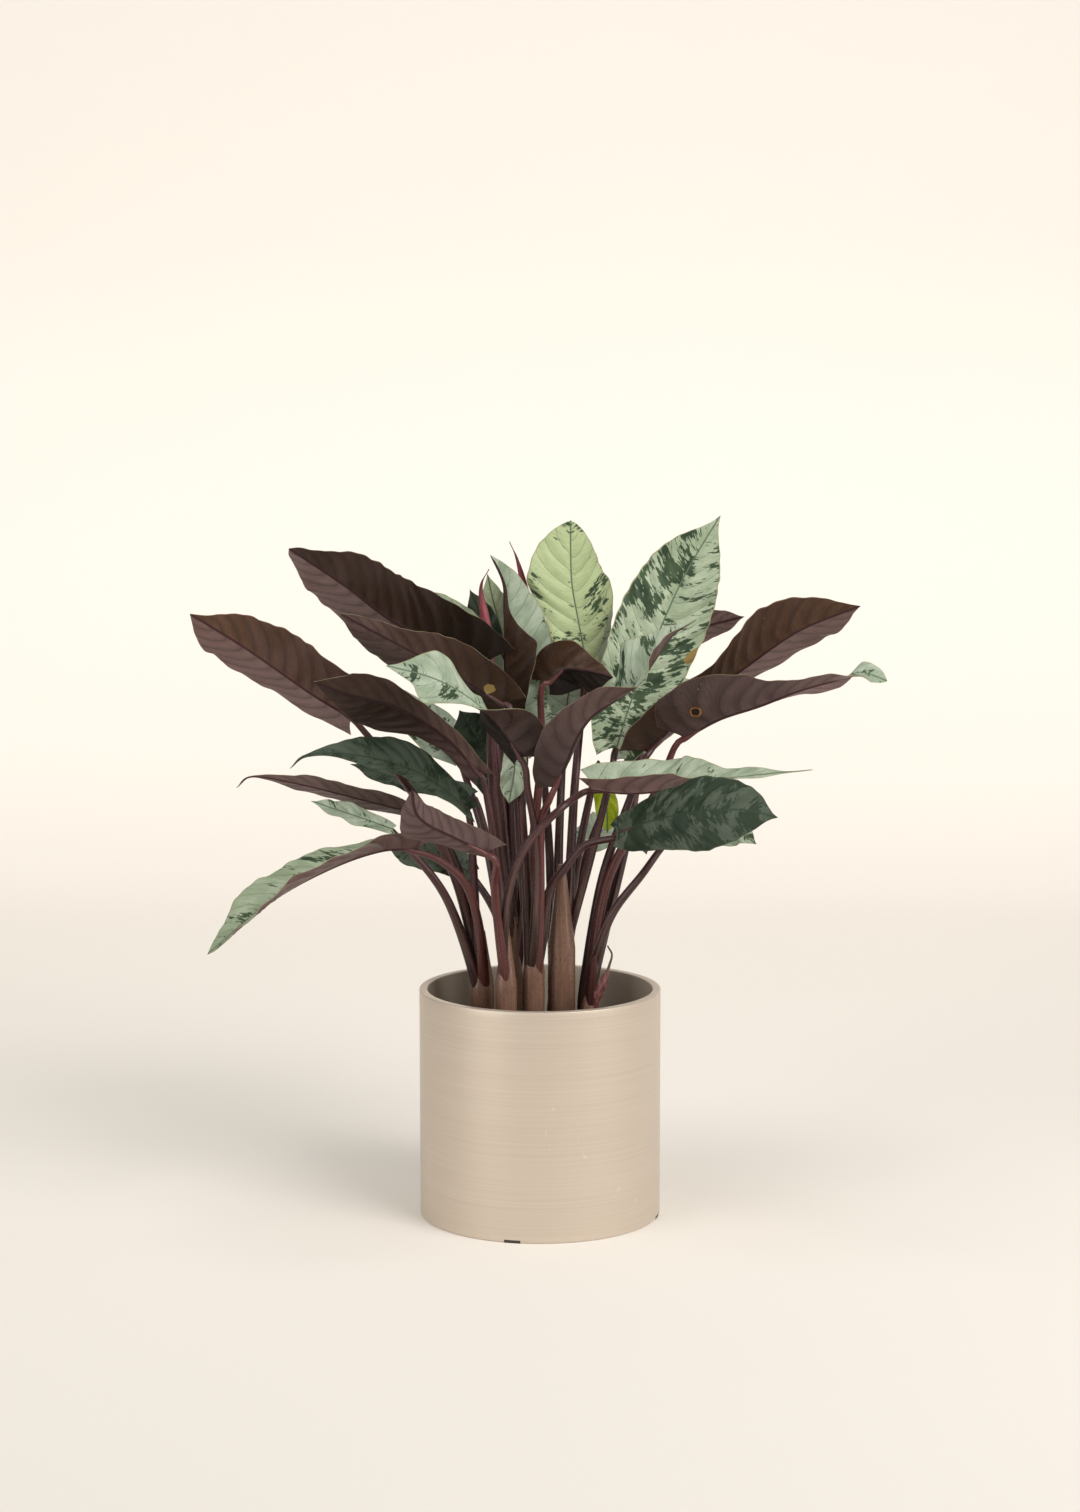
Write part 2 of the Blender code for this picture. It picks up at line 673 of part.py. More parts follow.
def tube(name, points, radius_at, between, sides, surface=None):
    """A closed round tube along a smooth curve; radius_at gives its radius from foot 0 to end 1."""
    path = [Vector(p) for p in points]
    ahead = direction(path, 0.0)
    across = ahead.orthogonal().normalized()
    places = ring_places(path, between)
    rings = len(places)
    vertices, faces = [], []
    for at in places:
        ahead = direction(path, at)
        across = (across - ahead * across.dot(ahead)).normalized()
        other = ahead.cross(across)
        centre = spline(path, at)
        radius = radius_at(at)
        for index in range(sides):
            angle = 2.0 * math.pi * index / sides
            vertices.append(centre + (across * math.cos(angle) + other * math.sin(angle)) * radius)
    for ring in range(rings - 1):
        for index in range(sides):
            a = ring * sides + index
            b = ring * sides + (index + 1) % sides
            faces.append((a, b, b + sides, a + sides))
    faces.append(tuple(range(sides - 1, -1, -1)))
    faces.append(tuple((rings - 1) * sides + index for index in range(sides)))
    made = add_object(name, vertices, faces, surface, path[0])
    smooth(made)
    return made


def stalk_radius(at):
    """Sheathing and thick at the foot, slim below the blade."""
    return STALK_TOP_RADIUS + (STALK_FOOT_RADIUS - STALK_TOP_RADIUS) * (1.0 - at) ** 1.3


def stand_off(shoot, number):
    """Where the numbered stalk of a shoot stands, turned on by the golden angle each time."""
    (x, y), _, ring = SHOOTS[shoot]
    angle = math.radians(GOLDEN_ANGLE * number + FIRST_ANGLE)
    return x + ring * math.cos(angle), y + ring * math.sin(angle)


def stalk_points(spec, number):
    """From the soil up inside the sheath, past the leaf's own points, to just below the blade's base."""
    x, y = stand_off(spec["shoot"], number)
    base = spec["rib"][0]
    ahead = direction(spec["rib"], 0.0)
    face = spec["face"][0]
    up = (face - ahead * face.dot(ahead)).normalized()
    points = [Vector((x, y, height)) for height in STALK_LEVELS]
    if spec["stalk"]:
        points += spec["stalk"]
    else:
        foot = Vector((x, y, SHEATH_TOP))
        bend = foot.lerp(base, BEND_OUT)
        bend.z = foot.z + (base.z - foot.z) * BEND_UP
        points.append(bend)
    neck = base - ahead * NECK_BACK - up * NECK_BELOW
    if (neck - points[-1]).length > SHORTEST_NECK:
        points.append(neck)
    points.append(base + ahead * JOINT_AHEAD - up * JOINT_BELOW)
    return points


def sheath_radius(radius):
    def at_share(at):
        closing = max(0.0, at - SHEATH_SHOULDER) / (1.0 - SHEATH_SHOULDER)
        return radius * (1.0 - SHEATH_CLOSING * closing)
    return at_share


def make_shoot(name, surface):
    """The sheath that stands in the soil, fused with the stalks of all the shoot's leaves and buds."""
    (x, y), radius, _ = SHOOTS[name]
    axis = [(x, y, SHEATH_BOTTOM), (x, y, (SHEATH_BOTTOM + SHEATH_TOP) / 2.0), (x, y, SHEATH_TOP)]
    shoot = tube("shoot_" + name, axis, sheath_radius(radius), 2, SHEATH_SIDES, surface)
    stalks = []
    members = [key for key, spec in LEAVES.items() if spec["shoot"] == name]
    for number, key in enumerate(members):
        points = stalk_points(LEAVES[key], number)
        stalks.append(tube("stalk_" + key, points, stalk_radius, 2, STALK_SIDES, surface))
    for key, (owner, path, _) in BUDS.items():
        if owner == name:
            x, y = stand_off(name, len(stalks))
            first = Vector(path[0])
            points = [
                *[Vector((x, y, height)) for height in STALK_LEVELS],
                Vector((x * 0.5 + first.x * 0.5, y * 0.5 + first.y * 0.5, (SHEATH_TOP + first.z) / 2.0)),
                first - Vector((0.0, 0.0, BUD_GAP)),
            ]
            stalks.append(tube("stalk_" + key, points, stalk_radius, 2, STALK_SIDES, surface))
    fuse(shoot, stalks)
    smooth(shoot)
    return shoot


def bud_radius(greatest):
    def at_share(at):
        return max(BUD_END_RADIUS, greatest * (1.0 - abs(2.0 * at - 0.55) ** 1.6 / 1.9) * (1.0 - 0.55 * at))
    return at_share


def make_bud(name, surface):
    _, path, greatest = BUDS[name]
    return tube(name, path, bud_radius(greatest), 3, 8, surface)


def make_dry_strand(surface):
    points = [Vector(point) for point, _ in DRY_STRAND]
    radii = [radius for _, radius in DRY_STRAND]

    def at_share(at):
        place = at * (len(radii) - 1)
        index = min(int(place), len(radii) - 2)
        return radii[index] + (radii[index + 1] - radii[index]) * (place - index)

    return tube("dry_strand", points, at_share, 2, 6, surface)


def turned(name, profile, sides, surface=None):
    """A solid turned round the Z axis from a closed run of (radius, height) points from axis to axis."""
    vertices, faces = [], []
    rings = []
    for radius, height in profile:
        if radius == 0.0:
            rings.append([len(vertices)])
            vertices.append(Vector((0.0, 0.0, height)))
            continue
        ring = []
        for index in range(sides):
            angle = 2.0 * math.pi * index / sides
            ring.append(len(vertices))
            vertices.append(Vector((radius * math.cos(angle), radius * math.sin(angle), height)))
        rings.append(ring)
    for low, high in zip(rings, rings[1:]):
        for index in range(sides):
            following = (index + 1) % sides
            if len(low) == 1:
                faces.append((low[0], high[following], high[index]))
            elif len(high) == 1:
                faces.append((low[index], low[following], high[0]))
            else:
                faces.append((low[index], low[following], high[following], high[index]))
    return add_object(name, vertices, faces, surface)


def ring_block(name, inner, outer, low, high, bearing, half_angle, steps, surface=None):
    """A block bent round the Z axis."""
    vertices, faces = [], []
    for step in range(steps + 1):
        angle = math.radians(bearing + half_angle * (2.0 * step / steps - 1.0))
        for radius, height in ((inner, low), (outer, low), (outer, high), (inner, high)):
            vertices.append(Vector((radius * math.cos(angle), radius * math.sin(angle), height)))
    for step in range(steps):
        a = step * 4
        for index in range(4):
            b = (index + 1) % 4
            faces.append((a + index, a + index + 4, a + b + 4, a + b))
    faces.append((0, 1, 2, 3))
    last = steps * 4
    faces.append((last + 3, last + 2, last + 1, last))
    return add_object(name, vertices, faces, surface)


def make_pot(surface):
    inner = POT_RADIUS - POT_WALL
    profile = [
        (0.0, 0.0),
        (POT_RADIUS - POT_EDGE, 0.0),
        (POT_RADIUS, POT_EDGE),
        (POT_RADIUS, POT_HEIGHT - POT_EDGE),
        (POT_RADIUS - POT_EDGE, POT_HEIGHT),
        (inner + POT_EDGE, POT_HEIGHT),
        (inner, POT_HEIGHT - POT_EDGE),
        (inner, POT_FLOOR),
        (0.0, POT_FLOOR),
    ]
    pot = turned("pot", profile, POT_SIDES, surface)
    for bearing in PAD_BEARINGS:
        notch = ring_block(
            "notch", POT_RADIUS - PAD_DEPTH, POT_RADIUS + NOTCH_OVER, -NOTCH_OVER, PAD_HEIGHT + GAP,
            bearing, PAD_HALF_ANGLE + NOTCH_SPARE_ANGLE, PAD_STEPS,
        )
        cut(pot, notch)
    smooth(pot)
    return pot


def make_pads(surface):
    for number, bearing in enumerate(PAD_BEARINGS, start=1):
        ring_block(
            "pad_%d" % number, POT_RADIUS - PAD_DEPTH + GAP, POT_RADIUS - GAP, 0.0, PAD_HEIGHT,
            bearing, PAD_HALF_ANGLE, PAD_STEPS, surface,
        )


def make_soil(surface):
    """A rough-topped plug with a plain hole for each shoot."""
    chance = random.Random(7)
    radius = POT_RADIUS - POT_WALL - GAP
    profile = [(0.0, POT_FLOOR + GAP), (radius, POT_FLOOR + GAP)]
    for ring in range(SOIL_RINGS, 0, -1):
        profile.append((radius * ring / SOIL_RINGS, SOIL_LEVEL))
    profile.append((0.0, SOIL_LEVEL))
    soil = turned("soil", profile, SOIL_SIDES, surface)
    for vertex in soil.data.vertices:
        if vertex.co.z > (SOIL_LEVEL - 1.0) * MM:
            vertex.co.z += chance.uniform(-SOIL_ROUGHNESS, SOIL_ROUGHNESS) * MM
    for (x, y), foot, _ in SHOOTS.values():
        top = SOIL_LEVEL + HOLE_ABOVE
        profile = [(0.0, HOLE_FLOOR), (foot + GAP, HOLE_FLOOR), (foot + GAP, top), (0.0, top)]
        hole = turned("hole", profile, HOLE_SIDES)
        hole.data.transform(Matrix.Translation((x * MM, y * MM, 0.0)))
        cut(soil, hole)
    return soil


def build():
    for made in list(bpy.data.objects):
        remove(made)
    make_pot(material("champagne", (0.61, 0.52, 0.42), 0.4, 0.5))
    make_pads(material("dark_pad", (0.05, 0.04, 0.035), 0.8))
    make_soil(material("soil_dark", (0.06, 0.045, 0.035), 0.95))
    stalk_red = material("stalk_red", (0.13, 0.05, 0.04), 0.4)
    for name in SHOOTS:
        make_shoot(name, stalk_red)
    leaf_green = material("leaf_green", (0.25, 0.35, 0.2), 0.5)
    for name, spec in LEAVES.items():
        make_blade("blade_" + name, spec, leaf_green)
    bud_red = material("bud_red", (0.4, 0.12, 0.12), 0.45)
    for name in BUDS:
        make_bud(name, bud_red)
    make_dry_strand(material("dry_brown", (0.18, 0.09, 0.06), 0.8))


build()
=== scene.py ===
"""Looks of the potted apoballis: fine blades, stalks, buds, soil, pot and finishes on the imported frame.

Lengths below are in millimetres unless a name says otherwise. +Z is up and the front faces -Y.
"""
import math
import random

import bpy
import numpy as np
from mathutils import Matrix, Vector, noise


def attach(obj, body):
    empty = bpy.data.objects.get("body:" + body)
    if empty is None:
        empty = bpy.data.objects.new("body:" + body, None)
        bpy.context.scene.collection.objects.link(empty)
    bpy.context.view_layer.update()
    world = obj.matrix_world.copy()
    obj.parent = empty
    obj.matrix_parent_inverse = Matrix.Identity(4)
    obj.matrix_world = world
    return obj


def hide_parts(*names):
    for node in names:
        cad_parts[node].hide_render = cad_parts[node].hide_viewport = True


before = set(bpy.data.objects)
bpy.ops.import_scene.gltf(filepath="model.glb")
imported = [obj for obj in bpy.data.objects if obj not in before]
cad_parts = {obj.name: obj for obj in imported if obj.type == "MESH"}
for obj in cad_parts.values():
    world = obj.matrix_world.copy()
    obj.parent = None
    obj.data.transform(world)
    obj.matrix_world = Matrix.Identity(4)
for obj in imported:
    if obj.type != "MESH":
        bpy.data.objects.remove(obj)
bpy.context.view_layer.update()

MM = 0.001
BODY = "root"

# Pot, as in the solid.
POT_RADIUS = 90.0
POT_HEIGHT = 171.0
POT_WALL = 6.0
POT_FLOOR = 6.0
POT_EDGE = 0.8
POT_SIDES = 240
PAD_BEARINGS = (257.0, 347.0, 77.0, 167.0)
NOTCH_HALF_ANGLE = 3.9
NOTCH_DEPTH = 7.0
NOTCH_HEIGHT = 2.3
SOIL_LEVEL = 131.0

# Blades: fineness, thickness and relief.
BLADE_ROWS = 96
BLADE_COLUMNS = 30
SMALL_BLADE = 100.0
SMALL_BLADE_ROWS = 56
SMALL_BLADE_COLUMNS = 22
COLUMN_CROWDING = 1.4
BLADE_THICKNESS = 0.7
EDGE_THICKNESS = 0.3
VEIN_SPACING = 13.0
VEIN_ARCH = 0.85
QUILT_SHARE = 0.06
RIDGE_HEIGHT = 1.3
RIDGE_WIDTH = 1.2
GROOVE_DEPTH = 0.35

WIDEST = 0.42
BASE_REACH = 0.4
WIDTHS = (
    (0.0, 0.38), (0.05, 0.56), (0.1, 0.69), (0.2, 0.86), (0.3, 0.96), (0.42, 1.0),
    (0.55, 0.95), (0.68, 0.79), (0.8, 0.52), (0.88, 0.29), (0.95, 0.1), (1.0, 0.0),
)

# Stalks.
STALK_FOOT_RADIUS = 4.6
STALK_TOP_RADIUS = 2.0
STALK_SIDES = 20
RING_SPACING = 3.0
BEND_OUT = 0.38
BEND_UP = 0.55
NECK_BACK = 7.0
NECK_BELOW = 6.0
JOINT_AHEAD = 3.0
JOINT_BELOW = 3.3
SHEATH_TOP = 176.0
SHEATH_TOPS = {"left": 215.0, "front": 225.0, "centre": 240.0, "broad": 265.0, "back_left": 220.0}
STALK_LEVELS = (116.0, 142.0, 168.0)

# Shoots: foot in the soil (x, y), radius of the sheath there, and how far the stalks stand off its axis.
SHOOTS = {
    "left": ((-43.0, -6.0), 8.8, 3.6),
    "front": ((-25.0, -31.0), 8.0, 3.0),
    "centre": ((-5.0, -18.0), 8.4, 3.4),
    "broad": ((16.0, -6.0), 10.2, 4.6),
    "right": ((36.0, 8.0), 8.0, 3.0),
    "back_left": ((-20.0, 26.0), 10.2, 4.2),
    "back_right": ((14.0, 34.0), 9.0, 3.8),
}


def leaf(shoot, rib, half, face, fold=(8.0, 8.0), wave=(1.5, 2.5, 0.0), stalk=(), broad=0.42, base=1.0,
         edge=()):
    """One leaf: its shoot, the points of its midrib from base to tip, half its greatest width, the way its
    upper side faces from base to tip, the rise of its left and right half in degrees (one pair, or pairs
    evenly spaced from base to tip), the wave of its edges (height, number, start), points its stalk passes,
    where it is widest, and the fullness of its base. A leaf that isn't alike on both sides has the width of
    its left and right half at places along it instead of the last two."""
    return {
        "shoot": shoot,
        "rib": rib,
        "half": half,
        "face": face,
        "fold": fold,
        "wave": wave,
        "stalk": stalk,
        "broad": broad,
        "base": base,
        "edge": edge,
    }


LEAVES = {
    "far_left": leaf(
        "left", [(-138, -8, 374), (-168, -25, 395), (-209, -45, 427), (-251, -55, 455)], 27,
        [(0.15, 0.95, 0.2), (0.1, 0.95, 0.25)],
        fold=(0, 28), wave=(1.5, 3.0, 0.2),
        stalk=[(-62, 2, 262), (-98, 2, 322)],
        edge=(
            (0, 20, 18), (0.15, 29, 21), (0.35, 31, 25), (0.55, 28, 29), (0.7, 21, 27), (0.8, 14, 21),
            (0.92, 5, 9), (1, 0, 0),
        ),
    ),
    "top_left": leaf(
        "back_left", [(-41, 23, 411), (-103, 6, 441), (-143, -10, 472), (-182, -25, 500)], 30,
        [(0.1, 0.95, 0.2), (0.1, 0.95, 0.25)],
        fold=(0, 28), wave=(2.0, 3.0, 0.4),
        stalk=[(-36, 16, 330)],
        edge=(
            (0, 20, 14), (0.15, 33, 22), (0.3, 35, 28), (0.47, 33, 31), (0.63, 28, 30),
            (0.78, 18, 21.5), (0.88, 10, 12.5), (0.95, 5, 7), (1, 0, 0),
        ),
    ),
    "strip_behind": leaf(
        "back_left", [(-28, 51, 388), (-54, 51, 426), (-91, 47, 466)], 18,
        [(0.3, -0.8, 0.4), (0.2, -0.8, 0.5)],
    ),
    "mid_upper_left": leaf(
        "centre", [
            (-26, -5, 384), (-62, -10, 406), (-91, -20, 423), (-125, -28, 442), (-145, -30, 453),
        ], 26,
        [(0.2, 0.9, 0.3), (0.1, 0.9, 0.3)],
        fold=(5, 25), wave=(1.5, 3.0, 0.1),
        stalk=[(-12, -12, 250), (-17, -12, 320)],
        edge=(
            (0, 14, 14), (0.12, 22, 20), (0.28, 26, 23), (0.4, 22, 23), (0.5, 18.5, 26),
            (0.63, 13, 24), (0.77, 9, 17), (0.9, 5, 8), (1, 0, 0),
        ),
    ),
    "left_dark": leaf(
        "front", [
            (-44, -20, 334), (-68, -28, 362), (-102, -38, 385), (-137, -48, 396), (-163, -55, 406),
        ], 30,
        [(0.2, 0.9, 0.3), (0.1, 0.9, 0.3)],
        fold=(5, 10), wave=(1.5, 2.5, 0.6),
        edge=(
            (0, 8, 9), (0.15, 9, 12), (0.3, 9.5, 16), (0.4, 11.5, 25), (0.5, 14.5, 30), (0.62, 19, 25),
            (0.75, 16, 15), (0.87, 9, 8), (1, 0, 0),
        ),
    ),
    "centre_left": leaf(
        "centre", [
            (-14, -45, 350), (-25, -56, 368), (-37, -66, 384), (-56, -74, 400), (-78, -82, 412),
            (-109, -88, 421),
        ], 31,
        [
            (0.1, 0.95, 0.2), (0.1, 0.9, 0.4), (0.3, -0.3, 0.9), (0.3, -0.7, 0.6), (0.3, -0.75, 0.55),
            (0.3, -0.75, 0.55),
        ],
        fold=(0, 30, 5, 5), wave=(1.5, 2.5, 0.3),
        stalk=[(-3, -30, 242), (-4, -34, 295), (-9, -40, 325)],
        edge=(
            (0, 16, 10), (0.12, 27, 12), (0.25, 25, 15), (0.37, 17, 10), (0.48, 15, 8), (0.64, 24, 20),
            (0.8, 11, 12), (0.92, 4, 4), (1, 0, 0),
        ),
    ),
    "centre_right": leaf(
        "centre", [
            (11, -46, 328), (18, -58, 345), (27, -68, 368), (39, -75, 385), (61, -80, 400),
            (73, -82, 412), (84, -83, 428), (94, -82, 442), (111, -80, 453),
        ], 30,
        [
            (0.1, 0.95, 0.1), (0.1, 0.95, 0.2), (-0.2, 0.6, 0.7), (-0.45, -0.8, 0.35),
            (-0.45, -0.8, 0.35), (-0.45, -0.8, 0.35),
        ],
        wave=(1.2, 2.5, 0.0),
        fold=(85, 0, 80, 0, 30, 40, 8, 80, 8, 80),
        stalk=[(0, -26, 242), (1, -34, 299)],
        edge=(
            (0, 8, 12), (0.07, 12, 20), (0.19, 18, 25), (0.3, 22, 20), (0.4, 25, 15), (0.52, 28, 20),
            (0.62, 28, 22), (0.74, 19, 15), (0.84, 10, 7), (0.93, 3, 2), (1, 0, 0),
        ),
    ),
    "centre_brown": leaf(
        "back_left", [(6, 27, 396), (18, 23, 407), (36, 12, 407), (54, -4, 404)], 28,
        [(0.0, 0.95, 0.2), (0.0, 0.95, 0.2)],
        fold=(5, 15), wave=(1.0, 2.5, 0.0),
        stalk=[(0, 26, 330)],
        edge=(
            (0, 7, 10), (0.1, 16, 18), (0.22, 23, 22), (0.45, 17, 13), (0.65, 13, 9), (0.85, 5, 4),
            (1, 0, 0),
        ),
    ),
    "upright_silver": leaf(
        "back_left", [
            (-21, 31, 366), (-25, 31, 391), (-26, 31, 421), (-27, 31, 451), (-28, 30, 471),
            (-37, 28, 492),
        ], 33,
        [(0.3, -0.9, 0.2), (0.3, -0.9, 0.2)],
        fold=(135, 8), wave=(1.0, 2.5, 0.0),
        edge=(
            (0, 10, 20), (0.12, 14, 30), (0.2, 20, 33), (0.3, 26, 35), (0.37, 26, 34), (0.46, 17, 31),
            (0.54, 10, 28), (0.64, 5, 22), (0.76, 3, 14.5), (0.86, 2, 8.5), (0.94, 1.5, 4), (1, 0, 0),
        ),
    ),
    "back_dark": leaf(
        "back_left", [(-29, 64, 389), (-39, 64, 419), (-46, 62, 446), (-53, 60, 464)], 13,
        [(0.1, -0.9, 0.3), (0.1, -0.9, 0.3)],
    ),
    "back_pale": leaf(
        "back_left", [(-20, 78, 387), (-28, 78, 425), (-36, 76, 456), (-40, 74, 475)], 13,
        [(0.1, -0.9, 0.3), (0.1, -0.9, 0.3)],
    ),
    "top_centre": leaf(
        "broad", [(34, 42, 414), (29, 46, 440), (24, 50, 468), (23, 54, 493), (23, 58, 516)], 33,
        [(0.1, -0.95, 0.3), (0.0, -0.9, 0.4)],
        fold=(8, 8), wave=(1.5, 2.5, 0.2),
        edge=(
            (0, 15, 9), (0.07, 20, 12), (0.17, 23, 20), (0.27, 26, 29), (0.37, 32.5, 28),
            (0.45, 33, 25), (0.55, 30, 22), (0.7, 23.5, 17), (0.8, 17, 13), (0.88, 11, 9),
            (0.95, 5, 4.5), (1, 0, 0),
        ),
    ),
    "tall_right": leaf(
        "broad", [(57, 10, 350), (68, 14, 385), (91, 24, 441), (110, 30, 481), (134, 32, 521)], 34,
        [(0.0, -0.95, 0.3), (-0.2, -0.9, 0.4)],
        fold=(8, 10), wave=(2.0, 2.5, 0.5), broad=0.42,
        stalk=[(30, 2, 240), (48, 4, 310)],
    ),
    "small_behind": leaf(
        "right", [(87, 56, 416), (120, 58, 434), (154, 54, 444)], 13,
        [(0.0, 0.9, 0.4), (0.0, 0.9, 0.4)],
        stalk=[(68, 36, 290), (78, 50, 370)],
    ),
    "right_brown": leaf(
        "right", [(80, 6, 347), (111, 3, 380), (150, -8, 411), (189, -22, 440), (232, -34, 459)], 29,
        [(-0.15, 0.9, 0.35), (-0.1, 0.95, 0.3)],
        fold=(25, 0), wave=(1.0, 3.0, 0.3),
        stalk=[(46, 8, 250), (66, 8, 310)],
        edge=(
            (0, 3, 18), (0.07, 5, 25), (0.15, 6.5, 23.5), (0.25, 8, 19), (0.33, 10, 17),
            (0.42, 15, 22), (0.5, 19, 28), (0.58, 21, 31), (0.66, 24, 29.5), (0.75, 23, 24.5),
            (0.83, 18, 17), (0.89, 12, 10.5), (0.95, 4.5, 4.5), (1, 0, 0),
        ),
    ),
    "right_grey": leaf(
        "right", [
            (106, -14, 360), (131, -30, 376), (159, -42, 387), (187, -50, 399), (216, -56, 408),
            (231, -58, 413), (249, -60, 407),
        ], 37,
        [
            (-0.1, 0.95, 0.15), (-0.1, 0.95, 0.15), (-0.1, 0.95, 0.2), (-0.1, 0.9, 0.3),
            (-0.1, 0.75, 0.5), (-0.1, 0.6, 0.6), (0.0, -0.3, 0.9), (0.0, -0.8, 0.5),
        ],
        wave=(1.2, 3.0, 0.0),
        fold=(85, 0, 82, 0, 65, 0, 20, 0, 0, 0, 0, 0),
        stalk=[(50, 4, 250), (86, -4, 320)],
        edge=(
            (0, 10, 17), (0.04, 12, 28), (0.085, 15, 36), (0.175, 16, 37.5), (0.275, 14, 29.5),
            (0.39, 11, 19.5), (0.53, 9, 13), (0.65, 11, 9), (0.75, 12, 9), (0.86, 13, 11),
            (0.93, 9, 6), (0.97, 4, 3), (1, 0, 0),
        ),
    ),
    "right_long": leaf(
        "front", [
            (38, -32, 325), (62, -37, 323), (86, -41, 325), (116, -45, 332), (152, -50, 337),
            (197, -53, 342),
        ], 30,
        [(-0.1, -0.7, 0.65), (0.0, -0.5, 0.8)],
        wave=(1.2, 3.0, 0.2),
        fold=(0, 85, 0, 85, 0, 60, 0, 15, 0, 5),
        stalk=[(-26, -36, 220), (-23, -44, 250), (-16, -48, 274), (-4, -48, 294), (16, -44, 313)],
        edge=(
            (0, 16, 12), (0.12, 28, 20), (0.25, 30, 22), (0.42, 22, 14), (0.55, 12.5, 6), (0.75, 7, 4),
            (0.88, 1.2, 1.0), (1, 0, 0),
        ),
    ),
    "lower_right": leaf(
        "centre", [
            (56, -42, 294), (83, -64, 307), (114, -84, 316), (143, -96, 319), (168, -106, 315),
        ], 29,
        [(0.0, -0.85, 0.5), (0.1, -0.75, 0.6)],
        fold=(-6, -14), wave=(1.5, 2.5, 0.4), base=0.75,
        stalk=[(3, -14, 217), (7, -16, 247), (18, -20, 264), (33, -24, 282)],
    ),
    "lower_right_pale": leaf(
        "right", [(97, 4, 281), (119, 0, 286), (144, -6, 289), (160, -12, 281)], 14,
        [(0.0, -0.8, 0.6), (0.1, -0.8, 0.6)],
        stalk=[(43, 4, 199), (55, 4, 228), (76, 2, 256)],
    ),
    "left_green": leaf(
        "left", [
            (-52, -14, 306), (-75, -28, 328), (-102, -42, 344), (-141, -55, 354), (-168, -61, 353),
            (-180, -63, 344),
        ], 22,
        [(0.2, -0.5, 0.75), (0.0, -0.7, 0.7)],
        wave=(1.2, 3.0, 0.1),
        edge=(
            (0, 8, 10), (0.17, 14, 18), (0.35, 14, 22), (0.5, 12, 20), (0.65, 8, 12), (0.8, 3, 5),
            (0.88, 1.4, 1.8), (0.95, 0.8, 0.8), (1, 0, 0),
        ),
    ),
    "left_behind": leaf(
        "back_left", [(-52, 34, 310), (-82, 32, 319), (-115, 28, 327), (-142, 24, 336)], 16,
        [(0.1, -0.5, 0.85), (0.1, -0.5, 0.85)],
    ),
    "front_left": leaf(
        "front", [
            (-38, -70, 284), (-67, -84, 300), (-80, -92, 308), (-88, -96, 317), (-91, -98, 334),
        ], 18,
        [(-0.1, 0.85, 0.5), (0.1, 0.9, 0.2)],
        fold=(10, 10), wave=(1.0, 2.0, 0.2),
        stalk=[(-30, -40, 221), (-33, -56, 257)],
        edge=(
            (0, 12, 5), (0.15, 14, 8), (0.35, 14, 13), (0.5, 14, 19), (0.62, 12.5, 18),
            (0.75, 9.5, 11), (0.88, 5, 5), (1, 0, 0),
        ),
    ),
    "long_lower_left": leaf(
        "left", [
            (-89, -50, 284), (-115, -66, 285), (-150, -84, 275), (-192, -98, 253), (-236, -108, 217),
        ], 25,
        [(0.0, 0.3, 0.95), (-0.3, -0.5, 0.8)],
        fold=(25, 25), wave=(1.5, 3.0, 0.0),
        stalk=[(-45, -26, 222), (-55, -36, 256), (-74, -46, 275)],
        edge=(
            (0, 16, 16), (0.15, 22, 21), (0.35, 27, 24), (0.55, 31, 25), (0.7, 28, 20), (0.82, 18, 13),
            (0.92, 8, 6), (1, 0, 0),
        ),
    ),
    "thin_purple": leaf(
        "left", [
            (-88, -24, 305), (-132, -34, 318), (-175, -42, 330), (-208, -47, 336), (-220, -48, 328),
        ], 14,
        [(0.0, 0.6, 0.8), (0.0, 0.6, 0.8)],
        wave=(1.0, 2.5, 0.0),
        edge=(
            (0, 8, 8), (0.2, 13, 13), (0.45, 13.5, 13.5), (0.65, 9, 9), (0.8, 4, 4), (0.88, 1.5, 1.5),
            (0.95, 0.8, 0.8), (1, 0, 0),
        ),
    ),
    "small_green": leaf(
        "left", [(-108, -30, 295), (-130, -36, 304), (-148, -42, 311), (-166, -46, 318)], 10,
        [(0.0, -0.6, 0.8), (0.0, -0.6, 0.8)],
    ),
    "lower_green": leaf(
        "back_left", [(-52, 24, 253), (-74, 20, 266), (-100, 16, 272), (-114, 14, 275)], 16,
        [(0.1, -0.8, 0.6), (0.1, -0.8, 0.6)],
    ),
    "dark_behind": leaf(
        "back_left", [(-26, 86, 301), (-41, 88, 333), (-62, 90, 369)], 21,
        [(0.1, -0.9, 0.3), (0.1, -0.9, 0.3)],
    ),
    "small_hanging": leaf(
        "centre", [(-18, -22, 358), (-19, -24, 335), (-23, -26, 313)], 10,
        [(0.0, -0.95, 0.2), (0.0, -0.95, 0.2)],
    ),
    "lime": leaf(
        "back_right", [(45, 44, 323), (50, 44, 302), (51, 42, 281)], 9,
        [(0.0, -0.95, 0.2), (0.0, -0.95, 0.2)],
    ),
    "rear_left": leaf(
        "back_left", [(-62, 92, 330), (-95, 125, 356), (-134, 156, 366), (-170, 184, 352)], 27,
        [(0.2, -0.5, 0.85), (-0.3, 0.3, 0.9)],
        wave=(2.0, 3.0, 0.5),
    ),
    "rear_centre": leaf(
        "back_right", [(2, 98, 336), (0, 134, 368), (-6, 176, 386), (-14, 218, 376)], 28,
        [(0.0, -0.5, 0.85), (0.0, 0.3, 0.95)],
        wave=(2.0, 3.0, 0.1),
    ),
    "rear_right": leaf(
        "back_right", [(66, 84, 332), (96, 116, 362), (132, 146, 378), (166, 176, 368)], 27,
        [(-0.2, -0.5, 0.85), (0.3, 0.3, 0.9)],
        wave=(2.0, 3.0, 0.8),
    ),
    "rear_low": leaf(
        "back_right", [(36, 88, 262), (54, 122, 274), (72, 160, 266), (86, 194, 240)], 24,
        [(0.0, -0.2, 0.95), (0.2, 0.4, 0.9)],
